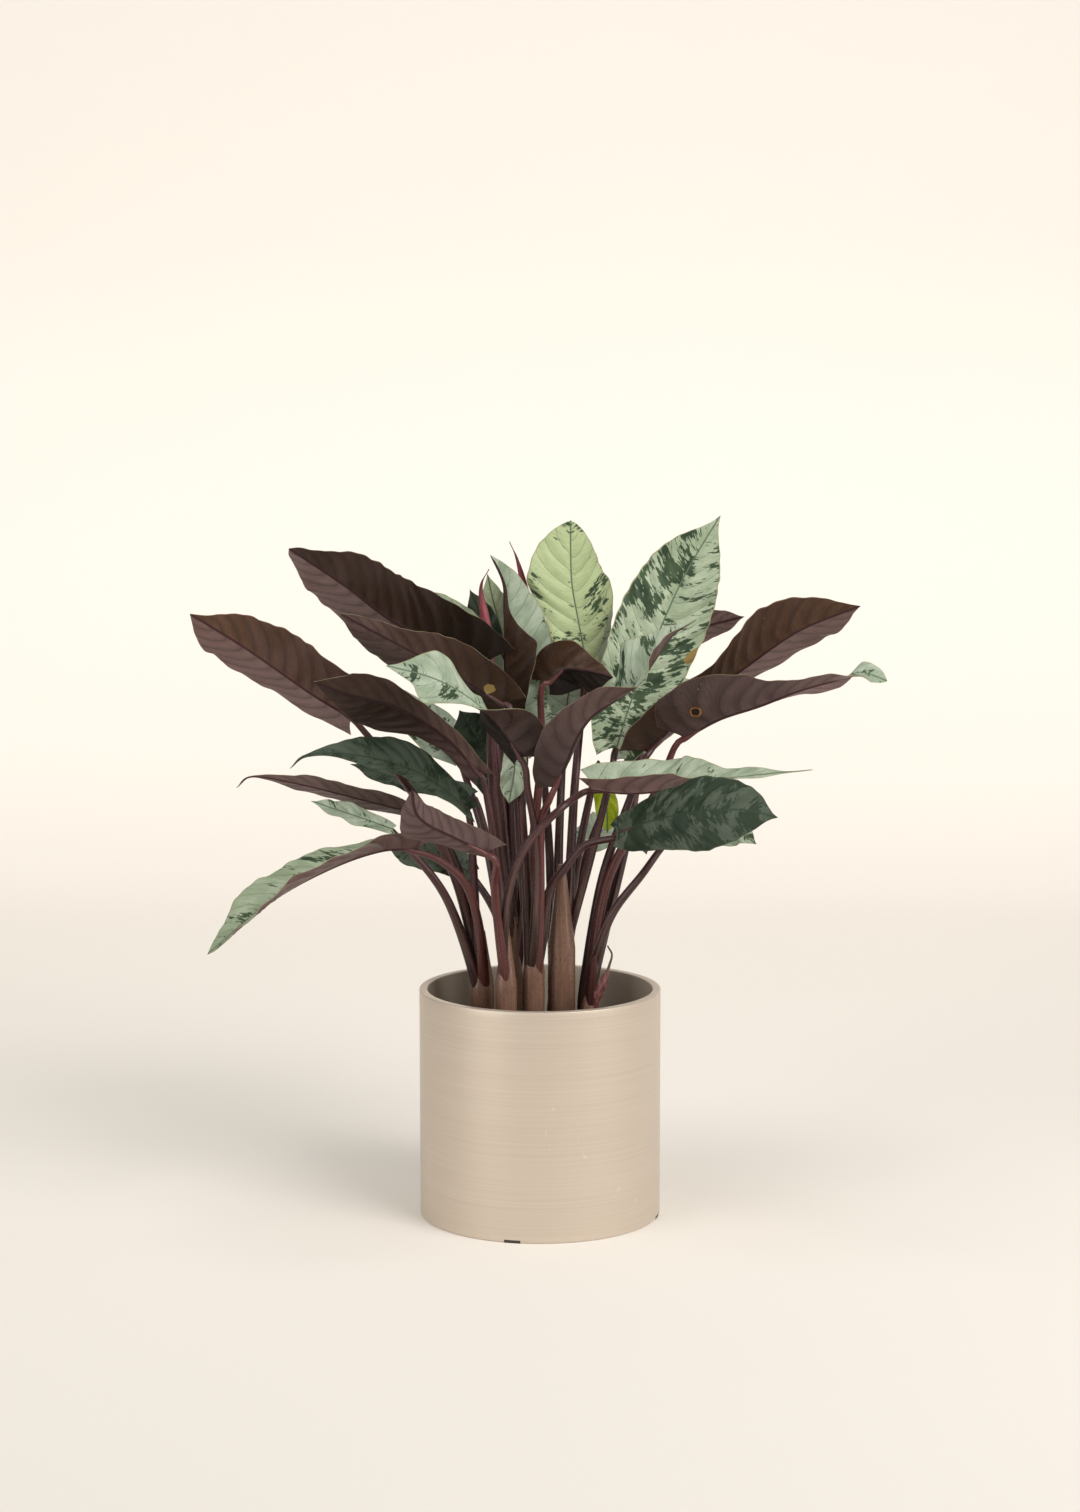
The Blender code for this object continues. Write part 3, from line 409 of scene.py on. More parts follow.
        wave=(2.0, 3.0, 0.3),
    ),
    "rear_upright": leaf(
        "back_right", [(20, 72, 372), (26, 86, 410), (34, 96, 448), (44, 98, 486)], 24,
        [(0.0, -0.9, 0.4), (0.0, -0.9, 0.4)],
        wave=(1.8, 3.0, 0.6),
    ),
}

# Young leaves still rolled into a pointed cone: shoot, points from foot to tip, and greatest radius.
BUDS = {
    "bud_red": ("back_left", [(-38, 38, 402), (-41, 38, 440), (-44, 37, 467), (-38, 36, 481)], 6.0),
    "bud_pink": ("back_left", [(-6, 60, 425), (-11, 60, 460), (-17, 58, 486), (-23, 58, 500)], 5.0),
}

# A dry strand with a shrivelled leaf bit, hanging inside the rim: points and radii.
DRY_STRAND = [
    ((50, -19, 206), 0.9),
    ((53, -24, 200), 1.0),
    ((50, -28, 190), 1.2),
    ((46, -30, 179), 3.2),
    ((43, -30, 172), 4.2),
    ((41, -30, 160), 2.6),
    ((40, -30, 152), 0.9),
]

# Upper side of each leaf: how much dark blotch it has beyond the usual, how yellow, and how deep in shade.
PLAIN_LOOK = (0.0, 0.0, 0.0)
LOOKS = {
    "top_centre": (0.04, 0.8, 0.05),
    "tall_right": (0.12, 0.3, 0.0),
    "centre_left": (-0.02, 0.1, 0.0),
    "right_long": (-0.08, 0.15, 0.0),
    "lower_right": (0.2, 0.0, 0.84),
    "back_dark": (0.1, 0.0, 0.85),
    "back_pale": (-0.15, 0.5, 0.0),
    "strip_behind": (-0.1, 0.3, 0.0),
    "upright_silver": (-0.05, 0.0, 0.0),
    "lime": (-0.5, 2.0, 0.0),
    "dark_behind": (0.1, 0.0, 0.9),
    "left_green": (0.1, 0.0, 0.88),
    "left_behind": (0.1, 0.0, 0.85),
    "lower_green": (0.05, 0.0, 0.75),
    "long_lower_left": (0.02, 0.3, 0.2),
}

# Lower side: how mauve, how warm and how dark on the left half and on the right half, and what is added
# to both towards the base and towards the tip. Dark is painted shade, deepest inside the clump and at the base;
# mauve is the side's own tone raised into a painted sheen where front light falls; warm is a brown-orange tone
# that partly paints light coming through the blade.
PLAIN_UNDER = ((0.35, 0.2, 0.2), (0.35, 0.2, 0.2), (0.0, 0.0, 0.1), (0.0, 0.0, 0.0))
UNDERS = {
    "far_left": ((0.15, 0.35, 0.1), (0.8, 0.1, 0.0), (0.15, -0.1, 0.0), (0.05, 0.4, 0.0)),
    "top_left": ((0.1, 0.15, 0.5), (0.9, 0.0, 0.0), (-0.1, 0.25, 0.45), (0.0, 0.0, 0.0)),
    "mid_upper_left": ((0.3, 0.3, 0.35), (0.4, 0.1, 0.25), (-0.3, 0.5, 0.35), (0.25, 0.0, 0.0)),
    "left_dark": ((0.08, 0.3, 0.55), (0.12, 0.1, 0.65), (0.5, -0.1, -0.4), (0.0, 0.1, 0.0)),
    "centre_left": ((0.5, 0.15, 0.5), (0.25, 0.2, 0.85), (0.0, 0.0, 0.25), (0.0, 0.0, 0.1)),
    "centre_right": ((0.45, 0.05, 0.3), (0.5, 0.02, 0.2), (-0.1, 0.0, 0.45), (0.0, 0.0, 0.0)),
    "centre_brown": ((0.0, 0.1, 0.95), (0.0, 0.6, 0.25), (0.0, 0.0, 0.35), (0.05, 0.0, -0.1)),
    "upright_silver": ((0.0, 0.6, 0.55), (0.0, 0.5, 0.5), (0.0, 0.0, 0.2), (0.0, 0.0, 0.0)),
    "right_brown": ((0.75, 0.1, 0.0), (0.15, 0.5, 0.25), (-0.1, 0.0, 0.35), (-0.1, 0.15, 0.0)),
    "right_grey": ((0.85, 0.0, 0.0), (0.5, 0.0, 0.4), (0.0, 0.0, 0.05), (0.5, 0.0, -0.4)),
    "front_left": ((0.75, 0.0, 0.4), (0.8, 0.0, 0.45), (0.0, 0.0, 0.0), (0.0, 0.0, 0.0)),
    "thin_purple": ((0.6, 0.0, 0.1), (0.6, 0.0, 0.1), (-0.1, 0.0, 0.25), (0.2, 0.0, -0.1)),
    "long_lower_left": ((0.7, 0.1, 0.0), (0.7, 0.1, 0.0), (-0.1, 0.0, 0.15), (0.0, 0.0, 0.0)),
    "right_long": ((0.85, 0.1, 0.0), (0.85, 0.1, 0.0), (0.0, 0.1, 0.0), (0.0, 0.0, 0.0)),
    "small_behind": ((0.6, 0.0, 0.1), (0.6, 0.0, 0.1), (0.0, 0.0, 0.0), (0.0, 0.0, 0.0)),
}

# Spots: place along the leaf and across it in centimetres, radius, and 0 for a hole, painted dark as the shade seen
# through it, or 1 for a patch.
SPOTS = {
    "right_grey": (2.2, 1.36, 0.42, 0.0),
    "mid_upper_left": (1.6, -0.45, 0.4, 1.0),
    "tall_right": (6.6, 3.2, 0.6, 1.0),
}


def smooth_step(low, high, values):
    share = np.clip((np.asarray(values, float) - low) / (high - low), 0.0, 1.0)
    return share * share * (3.0 - 2.0 * share)


def unit(vectors):
    return vectors / np.linalg.norm(vectors, axis=-1, keepdims=True)


def curve(points, at):
    """Points at shares of the way along a smooth curve through the points."""
    points = np.asarray(points, float)
    at = np.asarray(at, float)
    spans = np.linalg.norm(np.diff(points, axis=0), axis=1)
    reach = np.concatenate([[0.0], np.cumsum(spans)])
    distance = at * reach[-1]
    last = len(points) - 2
    index = np.clip(np.searchsorted(reach[1:], distance), 0, last)
    share = ((distance - reach[index]) / spans[index])[..., None]
    start, end = points[index], points[index + 1]
    before = np.where(index[..., None] > 0, points[np.maximum(index - 1, 0)], start * 2 - end)
    after = np.where(index[..., None] < last, points[np.minimum(index + 2, last + 1)], end * 2 - start)
    return 0.5 * (
        start * 2
        + (end - before) * share
        + (before * 2 - start * 5 + end * 4 - after) * share**2
        + (start * 3 - before - end * 3 + after) * share**3
    )


def direction(points, at, step=0.01):
    at = np.asarray(at, float)
    return unit(curve(points, np.minimum(1.0, at + step)) - curve(points, np.maximum(0.0, at - step)))


def blend(values, at):
    """Vectors at shares of the way along an evenly spaced list."""
    values = np.asarray(values, float)
    place = np.asarray(at, float) * (len(values) - 1)
    index = np.minimum(place.astype(int), len(values) - 2)
    share = (place - index)[..., None]
    return values[index] * (1.0 - share) + values[index + 1] * share


def eased(knots, at):
    """A smooth run through (place, value) knots."""
    places, values = np.asarray(knots, float).T
    before = np.maximum(np.arange(len(places)) - 1, 0)
    after = np.minimum(np.arange(len(places)) + 1, len(places) - 1)
    slopes = (values[after] - values[before]) / (places[after] - places[before])
    index = np.clip(np.searchsorted(places, at, side="right") - 1, 0, len(places) - 2)
    span = places[index + 1] - places[index]
    share = (at - places[index]) / span
    low, high = values[index], values[index + 1]
    return (
        (2 * share**3 - 3 * share**2 + 1) * low
        + (share**3 - 2 * share**2 + share) * span * slopes[index]
        + (3 * share**2 - 2 * share**3) * high
        + (share**3 - share**2) * span * slopes[index + 1]
    )


def half_widths(spec, at):
    """Widths of the left and of the right half along the blade."""
    if spec["edge"]:
        places, *sides = zip(*spec["edge"])
        return [np.maximum(eased(list(zip(places, side)), at), 0.0) for side in sides]
    broad, base = spec["broad"], spec["base"]
    place = np.where(at < broad, at / broad * WIDEST, WIDEST + (at - broad) / (1.0 - broad) * (1.0 - WIDEST))
    fullness = base + (1.0 - base) * np.minimum(1.0, at / BASE_REACH)
    both = spec["half"] * np.maximum(eased(WIDTHS, place), 0.0) * fullness
    return [both, both]


def rises(fold, at, first):
    """Rise in degrees of one half along the blade, from its evenly spaced values."""
    values = fold[first::2]
    return np.interp(at, np.linspace(0.0, 1.0, max(2, len(values))), values if len(values) > 1 else values * 2)


def rib_length(spec):
    return np.linalg.norm(np.diff(np.asarray(spec["rib"], float), axis=0), axis=1).sum()


def blade_frame(spec, at):
    """Centre, and the unit vectors ahead, up (the way the upper side faces) and out to the right."""
    centre = curve(spec["rib"], at)
    ahead = direction(spec["rib"], at)
    face = blend(spec["face"], at)
    up = unit(face - ahead * np.sum(face * ahead, axis=-1, keepdims=True))
    return centre, ahead, up, np.cross(ahead, up)


def blade_surface(spec, at, across, veins):
    """The blade's middle surface over a grid: at along it, across from the left edge -1 to the right 1."""
    centre, ahead, up, out = (part[:, None, :] for part in blade_frame(spec, at))
    side = np.where(across < 0.0, -1.0, 1.0)[None, :]
    away = np.abs(across)[None, :]
    scallop = 1.0 + 0.012 * np.sin(2.0 * math.pi * (veins * at[:, None] + 0.3 * side))
    left, right = half_widths(spec, at)
    half = np.where(side < 0, left[:, None], right[:, None])
    fold = spec["fold"]
    rise = np.radians(np.where(side < 0, rises(fold, at, 0)[:, None], rises(fold, at, 1)[:, None]))
    offset = (out * (side * np.cos(rise))[..., None] + up * np.sin(rise)[..., None]) * (half * scallop * away)[..., None]
    height, count, start = spec["wave"]
    ripple = height * np.sin(2.0 * math.pi * (count * at[:, None] + start + 0.18 * side))
    ripple = ripple * away**2 * np.minimum(1.0, half / 12.0)
    sweep = -0.75 + 1.35 * np.minimum(1.0, at / 0.3) ** 0.8
    forward = sweep[:, None] * half * away**1.5
    return centre + offset + up * ripple[..., None] + ahead * forward[..., None], half


def grid_normals(points, tip):
    along = np.gradient(np.concatenate([points, np.broadcast_to(tip, points[:1].shape)]), axis=0)[:-1]
    across = np.gradient(points, axis=1)
    return unit(np.cross(across, along))


def vein_place(at, across, veins):
    """Count of side veins passed: they leave the midrib alternately and arch towards the tip."""
    return veins * at + 0.25 * np.tanh(8.0 * across) - VEIN_ARCH * np.abs(across) ** 1.7


def quilted(points, normals, at, across, half, veins, seed):
    """Raises the blade between its side veins and frets its edge a little."""
    away = np.abs(across)[None, :]
    place = vein_place(at[:, None], across[None, :], veins)
    between = np.abs(np.sin(math.pi * place)) ** 0.8 - 0.6
    inner = smooth_step(0.03, 0.3, away) * (1.0 - 0.7 * smooth_step(0.7, 1.0, away))
    relief = QUILT_SHARE * half * between * inner
    fret = 0.034 * half * np.sin(math.pi * place + seed) * away**4
    return points + normals * (relief + fret)[..., None]


def blade_faces(rows, columns):
    """Quads of the upper face, lower face and rim, with triangles round the tip."""
    line = columns + 1
    tip = rows * line
    layer = tip + 1
    corner = (np.arange(rows - 1)[:, None] * line + np.arange(columns)[None, :]).ravel()
    quads = np.stack([corner, corner + 1, corner + line + 1, corner + line], axis=1)
    last = (rows - 1) * line + np.arange(columns)
    points = np.stack([last, last + 1, np.full(columns, tip)], axis=1)
    upper = quads.tolist() + points.tolist()
    lower = [[index + layer for index in reversed(face)] for face in upper]
    border = list(range(columns))
    border += [row * line + columns for row in range(rows)]
    border.append(tip)
    border += [row * line for row in range(rows - 1, 0, -1)]
    rim = [[a, a + layer, b + layer, b] for a, b in zip(border, border[1:] + border[:1])]
    return upper, lower, rim


def add_mesh(name, points, faces, surfaces):
    """A mesh piece from points in millimetres that rides on the body."""
    mesh = bpy.data.meshes.new(name)
    mesh.from_pydata((np.asarray(points, float) * MM).tolist(), [], faces)
    mesh.update()
    for surface in surfaces:
        mesh.materials.append(surface)
    made = bpy.data.objects.new(name, mesh)
    bpy.context.scene.collection.objects.link(made)
    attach(made, BODY)
    return made


def smooth(made, angle=50.0):
    made.data.shade_smooth()
    made.data.set_sharp_from_angle(angle=math.radians(angle))


def write_vectors(made, name, values):
    attribute = made.data.attributes.new(name, "FLOAT_VECTOR", "POINT")
    attribute.data.foreach_set("vector", np.asarray(values, np.float32).ravel())


def under_tones(tones, at, across):
    """How mauve, how warm and how dark the lower side is, from the tones of its halves, base and tip; the dark
    share is painted shade, and the mauve and warm shares partly paint a sheen and light coming through.
    """
    left, right, base, tip = (np.asarray(tone, float) for tone in tones)
    share = smooth_step(-0.06, 0.06, across)[..., None]
    near = (1.0 - smooth_step(0.05, 0.5, at))[..., None]
    far = smooth_step(0.5, 0.95, at)[..., None]
    values = left * (1.0 - share) + right * share + base * near + tip * far
    values = values.reshape(-1, 3)
    return np.clip(np.concatenate([values, values[-1:]]), 0.0, 1.0)


def spot_reach(name, along, across):
    """Distance from a leaf's spot along and across it, in radii of the spot, and the kind of spot."""
    place_along, place_across, radius, kind = SPOTS.get(name, (-99.0, 0.0, 1.0, 0.0))
    flat = np.stack([(along - place_along) / radius, (across - place_across) / radius, np.full_like(along, kind)], axis=-1)
    return np.concatenate([flat.reshape(-1, 3), [[99.0, 0.0, kind]]])


def spotted_over(tree, colour):
    """A hole with an orange rim, painted near-black as the shade seen through it, or for the other kind a
    yellow-brown patch.
    """
    spot = attribute(tree, "spot")
    rough = noise_at(tree, combine(tree, spot[0], spot[1], 0.0), scale=1.3, detail=3.0)
    squared = sums(tree, "MULTIPLY_ADD", spot[0], spot[0], sums(tree, "MULTIPLY", spot[1], spot[1]))
    reach = sums(tree, "MULTIPLY_ADD", rough, 0.7, sums(tree, "SQRT", squared))
    patch = mixed(tree, spot[2], (0.42, 0.17, 0.04), (0.3, 0.2, 0.06))
    rimmed = mixed(tree, stepped(tree, reach, 1.2, 1.38), patch, colour)
    # The hole is not cut: its middle is painted near-black as the shade seen through it.
    hollow = sums(tree, "MULTIPLY", stepped(tree, reach, 1.0, 1.12, 1.0, 0.0), sums(tree, "SUBTRACT", 1.0, spot[2]))
    return mixed(tree, hollow, rimmed, (0.02, 0.012, 0.01))


def make_blade(name, spec, number, surfaces):
    length = rib_length(spec)
    large = length > SMALL_BLADE
    rows = BLADE_ROWS if large else SMALL_BLADE_ROWS
    columns = BLADE_COLUMNS if large else SMALL_BLADE_COLUMNS
    veins = length / VEIN_SPACING * (1.0 if large else 1.4)
    at = np.arange(rows) / rows
    even = np.linspace(-1.0, 1.0, columns + 1)
    across = np.sign(even) * np.abs(even) ** COLUMN_CROWDING
    points, half = blade_surface(spec, at, across, veins)
    tip = curve(spec["rib"], 1.0)
    normals = grid_normals(points, tip)
    points = quilted(points, normals, at, across, half, veins, number)
    normals = grid_normals(points, tip)
    away = np.abs(across)[None, :]
    thick = (EDGE_THICKNESS + (BLADE_THICKNESS - EDGE_THICKNESS) * (1.0 - away**3)) / 2.0
    thick = np.broadcast_to(thick, (rows, columns + 1))
    size = min(1.0, spec["half"] / 25.0)
    width = RIDGE_WIDTH * size * (1.0 - 0.6 * at[:, None])
    ridge = np.exp(-(away * half / width) ** 2)
    below = thick + ridge * RIDGE_HEIGHT * size * (1.0 - at[:, None]) ** 0.7
    above = thick - ridge * GROOVE_DEPTH * size * (1.0 - at[:, None])
    upper = (points + normals * above[..., None]).reshape(-1, 3)
    lower = (points - normals * below[..., None]).reshape(-1, 3)
    tip_normal = normals[-1, columns // 2] * EDGE_THICKNESS / 2.0
    vertices = np.concatenate([upper, [tip + tip_normal], lower, [tip - tip_normal]])
    top, bottom, rim = blade_faces(rows, columns)
    made = add_mesh("leaf_" + name, vertices, top + bottom + rim, surfaces)
    slots = np.zeros(len(made.data.polygons), np.int32)
    slots[len(top) : len(top) + len(bottom)] = 1
    made.data.polygons.foreach_set("material_index", slots)
    smooth(made)
    grid_at = np.broadcast_to(at[:, None], half.shape[:1] + (columns + 1,))
    grid_across = np.broadcast_to(across[None, :], grid_at.shape)
    shares = np.stack([grid_at, grid_across, vein_place(grid_at, grid_across, veins)], axis=-1)
    shares = np.concatenate([shares.reshape(-1, 3), [[1.0, 0.0, veins]]])
    reach = np.stack([grid_at * length / 10.0, grid_across * half / 10.0, np.full(grid_at.shape, number * 3.7)], axis=-1)
    reach = np.concatenate([reach.reshape(-1, 3), [[length / 10.0, 0.0, number * 3.7]]])
    look = np.broadcast_to(np.asarray(LOOKS.get(name, PLAIN_LOOK), float), shares.shape)
    tones = under_tones(UNDERS.get(name, PLAIN_UNDER), grid_at, grid_across)
    write_vectors(made, "share", np.concatenate([shares, shares]))
    write_vectors(made, "reach", np.concatenate([reach, reach]))
    write_vectors(made, "look", np.concatenate([look, look]))
    write_vectors(made, "under", np.concatenate([tones, tones]))
    spot = spot_reach(name, grid_at * length / 10.0, grid_across * half / 10.0)
    write_vectors(made, "spot", np.concatenate([spot, spot]))
    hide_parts("blade_" + name)
    return made


def carried_frames(path, rings, first):
    """Centres, directions and a side vector carried without twist along a path."""
    at = np.linspace(0.0, 1.0, rings)
    centres, ahead = curve(path, at), direction(path, at)
    sides = np.empty_like(centres)
    side = np.asarray(first, float)
    for index in range(rings):
        side = unit(side - ahead[index] * np.dot(side, ahead[index]))
        sides[index] = side
    return at, centres, ahead, sides


def tube_parts(path, radius_at, shape_at, sides, spacing=RING_SPACING, first=(0.0, 1.0, 0.0)):
    """Points, faces and (share along, angle share, length in cm) of a closed tube with a shaped section."""
    rings = max(6, int(np.linalg.norm(np.diff(path, axis=0), axis=1).sum() / spacing))
    at, centres, ahead, side = carried_frames(path, rings, first)
    other = np.cross(ahead, side)
    angle = np.linspace(0.0, 2.0 * math.pi, sides, endpoint=False)
    radius = radius_at(at)[:, None] * shape_at(at[:, None], angle[None, :])
    points = (
        centres[:, None, :]
        + side[:, None, :] * (radius * np.cos(angle))[..., None]
        + other[:, None, :] * (radius * np.sin(angle))[..., None]
    ).reshape(-1, 3)
    ring = np.arange(rings - 1)[:, None] * sides
    step = np.arange(sides)[None, :]
    following = (step + 1) % sides
    faces = np.stack([ring + step, ring + following, ring + following + sides, ring + step + sides], axis=-1)
    faces = faces.reshape(-1, 4).tolist()
    faces.append(list(range(sides - 1, -1, -1)))
    faces.append([(rings - 1) * sides + index for index in range(sides)])
    length = np.linalg.norm(np.diff(path, axis=0), axis=1).sum()
    data = np.stack(
        [
            np.broadcast_to(at[:, None], radius.shape),
            np.broadcast_to(angle[None, :] / (2.0 * math.pi), radius.shape),
            np.broadcast_to(at[:, None] * length / 10.0, radius.shape),
        ],
        axis=-1,
    ).reshape(-1, 3)
    return points, faces, data


def joined(parts):
    """One set of points, faces and data from several."""
    points, faces, data = [], [], []
    start = 0
    for part_points, part_faces, part_data in parts:
        points.append(part_points)
        faces += [[index + start for index in face] for face in part_faces]
        data.append(part_data)
        start += len(part_points)
    return np.concatenate(points), faces, np.concatenate(data)


def stalk_radius(at):
    """Sheathing and thick at the foot, slim below the blade, running out into the midrib."""
    plain = STALK_TOP_RADIUS + (STALK_FOOT_RADIUS - STALK_TOP_RADIUS) * (1.0 - at) ** 0.8
    return plain * (1.0 - 0.55 * smooth_step(0.93, 1.0, at))


def stalk_section(at, angle):
    """Channelled where it sheathes: two lips on the inner side with a hollow between them."""
    sheathing = 1.0 - smooth_step(0.3, 0.6, at)
    turn = np.abs((angle + math.pi) % (2.0 * math.pi) - math.pi)
    lips = 0.3 * np.exp(-(((turn - 0.9) / 0.3) ** 2))
    hollow = 0.4 * np.exp(-((turn / 0.55) ** 2))
    ribs = 0.02 * np.cos(9.0 * angle)
    return 1.0 + sheathing * (lips - hollow) + ribs


def stand_off(shoot, number):
    (x, y), _, ring = SHOOTS[shoot]
    angle = math.radians(137.5 * number + 40.0)
    return x + ring * math.cos(angle), y + ring * math.sin(angle)


def stalk_path(spec, number):
    """From the soil up inside the sheath, past the leaf's own points, and on under the midrib."""
    x, y = stand_off(spec["shoot"], number)
    base = np.asarray(spec["rib"][0], float)
    _, ahead, up, _ = (part[0] for part in blade_frame(spec, np.array([0.0])))
    points = [(x, y, height) for height in STALK_LEVELS]
    if spec["stalk"]:
        points += list(spec["stalk"])
    else:
        points.append(
            (
                x + (base[0] - x) * BEND_OUT,
                y + (base[1] - y) * BEND_OUT,
                SHEATH_TOP + (base[2] - SHEATH_TOP) * BEND_UP,
            )
        )
    neck = base - ahead * NECK_BACK - up * NECK_BELOW
    if np.linalg.norm(neck - np.asarray(points[-1], float)) > 12.0:
        points.append(tuple(neck))
    points.append(tuple(base + ahead * JOINT_AHEAD - up * JOINT_BELOW * 0.6))
    under = 16.0 / rib_length(spec)
    centre, _, up_under, _ = (part[0] for part in blade_frame(spec, np.array([under])))
    points.append(tuple(centre - up_under * 0.7))
    return np.asarray(points, float)


def sheath_radius(radius):
    return lambda at: radius * (1.0 - 0.75 * np.clip((at - 0.6) / 0.4, 0.0, 1.0))


def round_section(at, angle):
    return 1.0 + 0.03 * np.cos(5.0 * angle + 0.5 * at)


def make_shoot(name, surface):
    """A shoot's sheath, and the stalks of its leaves and buds."""
    (x, y), radius, _ = SHOOTS[name]
    top = SHEATH_TOPS.get(name, SHEATH_TOP)
    axis = np.array([(x, y, 110.0), (x, y, 143.0), (x, y, SHEATH_TOP), (x, y, (SHEATH_TOP + top) / 2), (x, y, top)])
    parts = [tube_parts(axis[: 3 if top == SHEATH_TOP else 5], sheath_radius(radius), round_section, STALK_SIDES + 8)]
    members = [key for key, spec in LEAVES.items() if spec["shoot"] == name]
    for number, key in enumerate(members):
        path = stalk_path(LEAVES[key], number)
        inward = (x - path[0][0], y - path[0][1], 0.0)
        parts.append(tube_parts(path, stalk_radius, stalk_section, STALK_SIDES, first=inward))
    number = len(members)
    for key, (owner, path, _) in BUDS.items():
        if owner == name:
            foot = stand_off(name, number)
            first = path[0]
            points = [(foot[0], foot[1], height) for height in STALK_LEVELS]
            points.append(((foot[0] + first[0]) / 2, (foot[1] + first[1]) / 2, (SHEATH_TOP + first[2]) / 2))
            points.append((first[0], first[1], first[2] + 1.5))
            inward = (x - foot[0], y - foot[1], 0.0)
            parts.append(tube_parts(np.array(points), stalk_radius, stalk_section, STALK_SIDES, first=inward))
            number += 1
    for index, (_, _, data) in enumerate(parts):
        data[:, 1] += index * 5.3
    points, faces, data = joined(parts)
    made = add_mesh("stalks_" + name, points, faces, [surface])
    smooth(made, 60.0)
    write_vectors(made, "stalk", data)
    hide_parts("shoot_" + name)
    return made


def bud_radius(greatest):
    def at_share(at):
        full = greatest * (1.0 - np.abs(2.0 * at - 0.55) ** 1.6 / 1.9) * (1.0 - 0.55 * at)
        return np.maximum(0.35, full * (1.0 - smooth_step(0.8, 1.0, at) * 0.8))
    return at_share


def rolled_section(at, angle):
    """A rolled blade: the section steps out where its free edge overlaps."""
    return 0.93 + 0.13 * ((angle / (2.0 * math.pi) + 0.4 * at) % 1.0)


def make_bud(name, surface):
    _, path, greatest = BUDS[name]
    points, faces, data = tube_parts(np.array(path, float), bud_radius(greatest), rolled_section, 40, 1.2)
    made = add_mesh("young_" + name, points, faces, [surface])
    smooth(made, 35.0)
    write_vectors(made, "stalk", data)
    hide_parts(name)


def make_dry_strand(surface):
    path = np.array([point for point, _ in DRY_STRAND], float)
    radii = np.array([radius for _, radius in DRY_STRAND])
    places = np.linspace(0.0, 1.0, len(radii))

    def radius_at(at):
        return np.interp(at, places, radii) * 0.9

    def crumpled(at, angle):
        return 0.85 + 0.22 * np.cos(2.0 * angle + 9.0 * at) + 0.1 * np.sin(5.0 * angle + 40.0 * at)

    points, faces, data = tube_parts(path, radius_at, crumpled, 16, 0.7)
    made = add_mesh("dry_leaf_strand", points, faces, [surface])
    smooth(made, 60.0)
    write_vectors(made, "stalk", data)
    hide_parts("dry_strand")


def pot_angles():
    """Bearings of the pot's columns, doubled at the sides of each notch."""
    plain = np.arange(POT_SIDES) * 360.0 / POT_SIDES
    edges = []
    for bearing in PAD_BEARINGS:
        for side in (-1.0, 1.0):
            edges += [bearing + side * NOTCH_HALF_ANGLE, bearing + side * (NOTCH_HALF_ANGLE + 0.05)]
    kept = [angle for angle in plain if min(abs(angle - edge % 360.0) for edge in edges) > 0.3]
    return np.sort(np.array(kept + [edge % 360.0 for edge in edges]))


def pot_profile(notched):
    """Run of (radius, height) from the middle of the underside round the wall to the middle of the floor."""
    outer, inner, top = POT_RADIUS, POT_RADIUS - POT_WALL, POT_HEIGHT
    if notched:
        foot = [(outer - NOTCH_DEPTH, 0.0), (outer - NOTCH_DEPTH, NOTCH_HEIGHT), (outer, NOTCH_HEIGHT)]
    else:
        foot = [(outer - NOTCH_DEPTH, 0.0), (outer - POT_EDGE, 0.0), (outer, POT_EDGE)]
    run = [(20.0, 0.0), (60.0, 0.0), *foot]
    run += [(outer, height) for height in (6.0, 20.0, 60.0, 110.0, 150.0, 165.0)]
    for radius, centre, start in ((outer, -1, 0.0), (inner, 1, 90.0)):
        for step in range(5):
            turn = math.radians(start + 90.0 * step / 4)
            run.append(
                (radius + centre * POT_EDGE + POT_EDGE * math.cos(turn), top - POT_EDGE + POT_EDGE * math.sin(turn))
            )
    run += [(inner, height) for height in (165.0, 140.0, 100.0, 50.0, POT_FLOOR + 1.0)]
    run += [(inner - 1.0, POT_FLOOR), (60.0, POT_FLOOR), (20.0, POT_FLOOR)]
    return run


def make_pot(surface):
    angles = pot_angles()
    columns = []
    for angle in angles:
        near = min(abs((angle - bearing + 180.0) % 360.0 - 180.0) for bearing in PAD_BEARINGS)
        turn = math.radians(angle)
        profile = pot_profile(near < NOTCH_HALF_ANGLE + 0.01)
        columns.append([(r * math.cos(turn), r * math.sin(turn), z) for r, z in profile])
    count, line = len(columns), len(columns[0])
    points = [point for column in columns for point in column]
    faces = []
    for column in range(count):
        following = (column + 1) % count
        for row in range(line - 1):
            a, b = column * line + row, following * line + row
            faces.append([a, b, b + 1, a + 1])
    low, high = len(points), len(points) + 1
    points += [(0.0, 0.0, 0.0), (0.0, 0.0, POT_FLOOR)]
    for column in range(count):
        following = (column + 1) % count
        faces.append([low, following * line, column * line])
        faces.append([high, column * line + line - 1, following * line + line - 1])
    made = add_mesh("brushed_pot", points, faces, [surface])
    smooth(made, 40.0)
    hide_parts("pot")


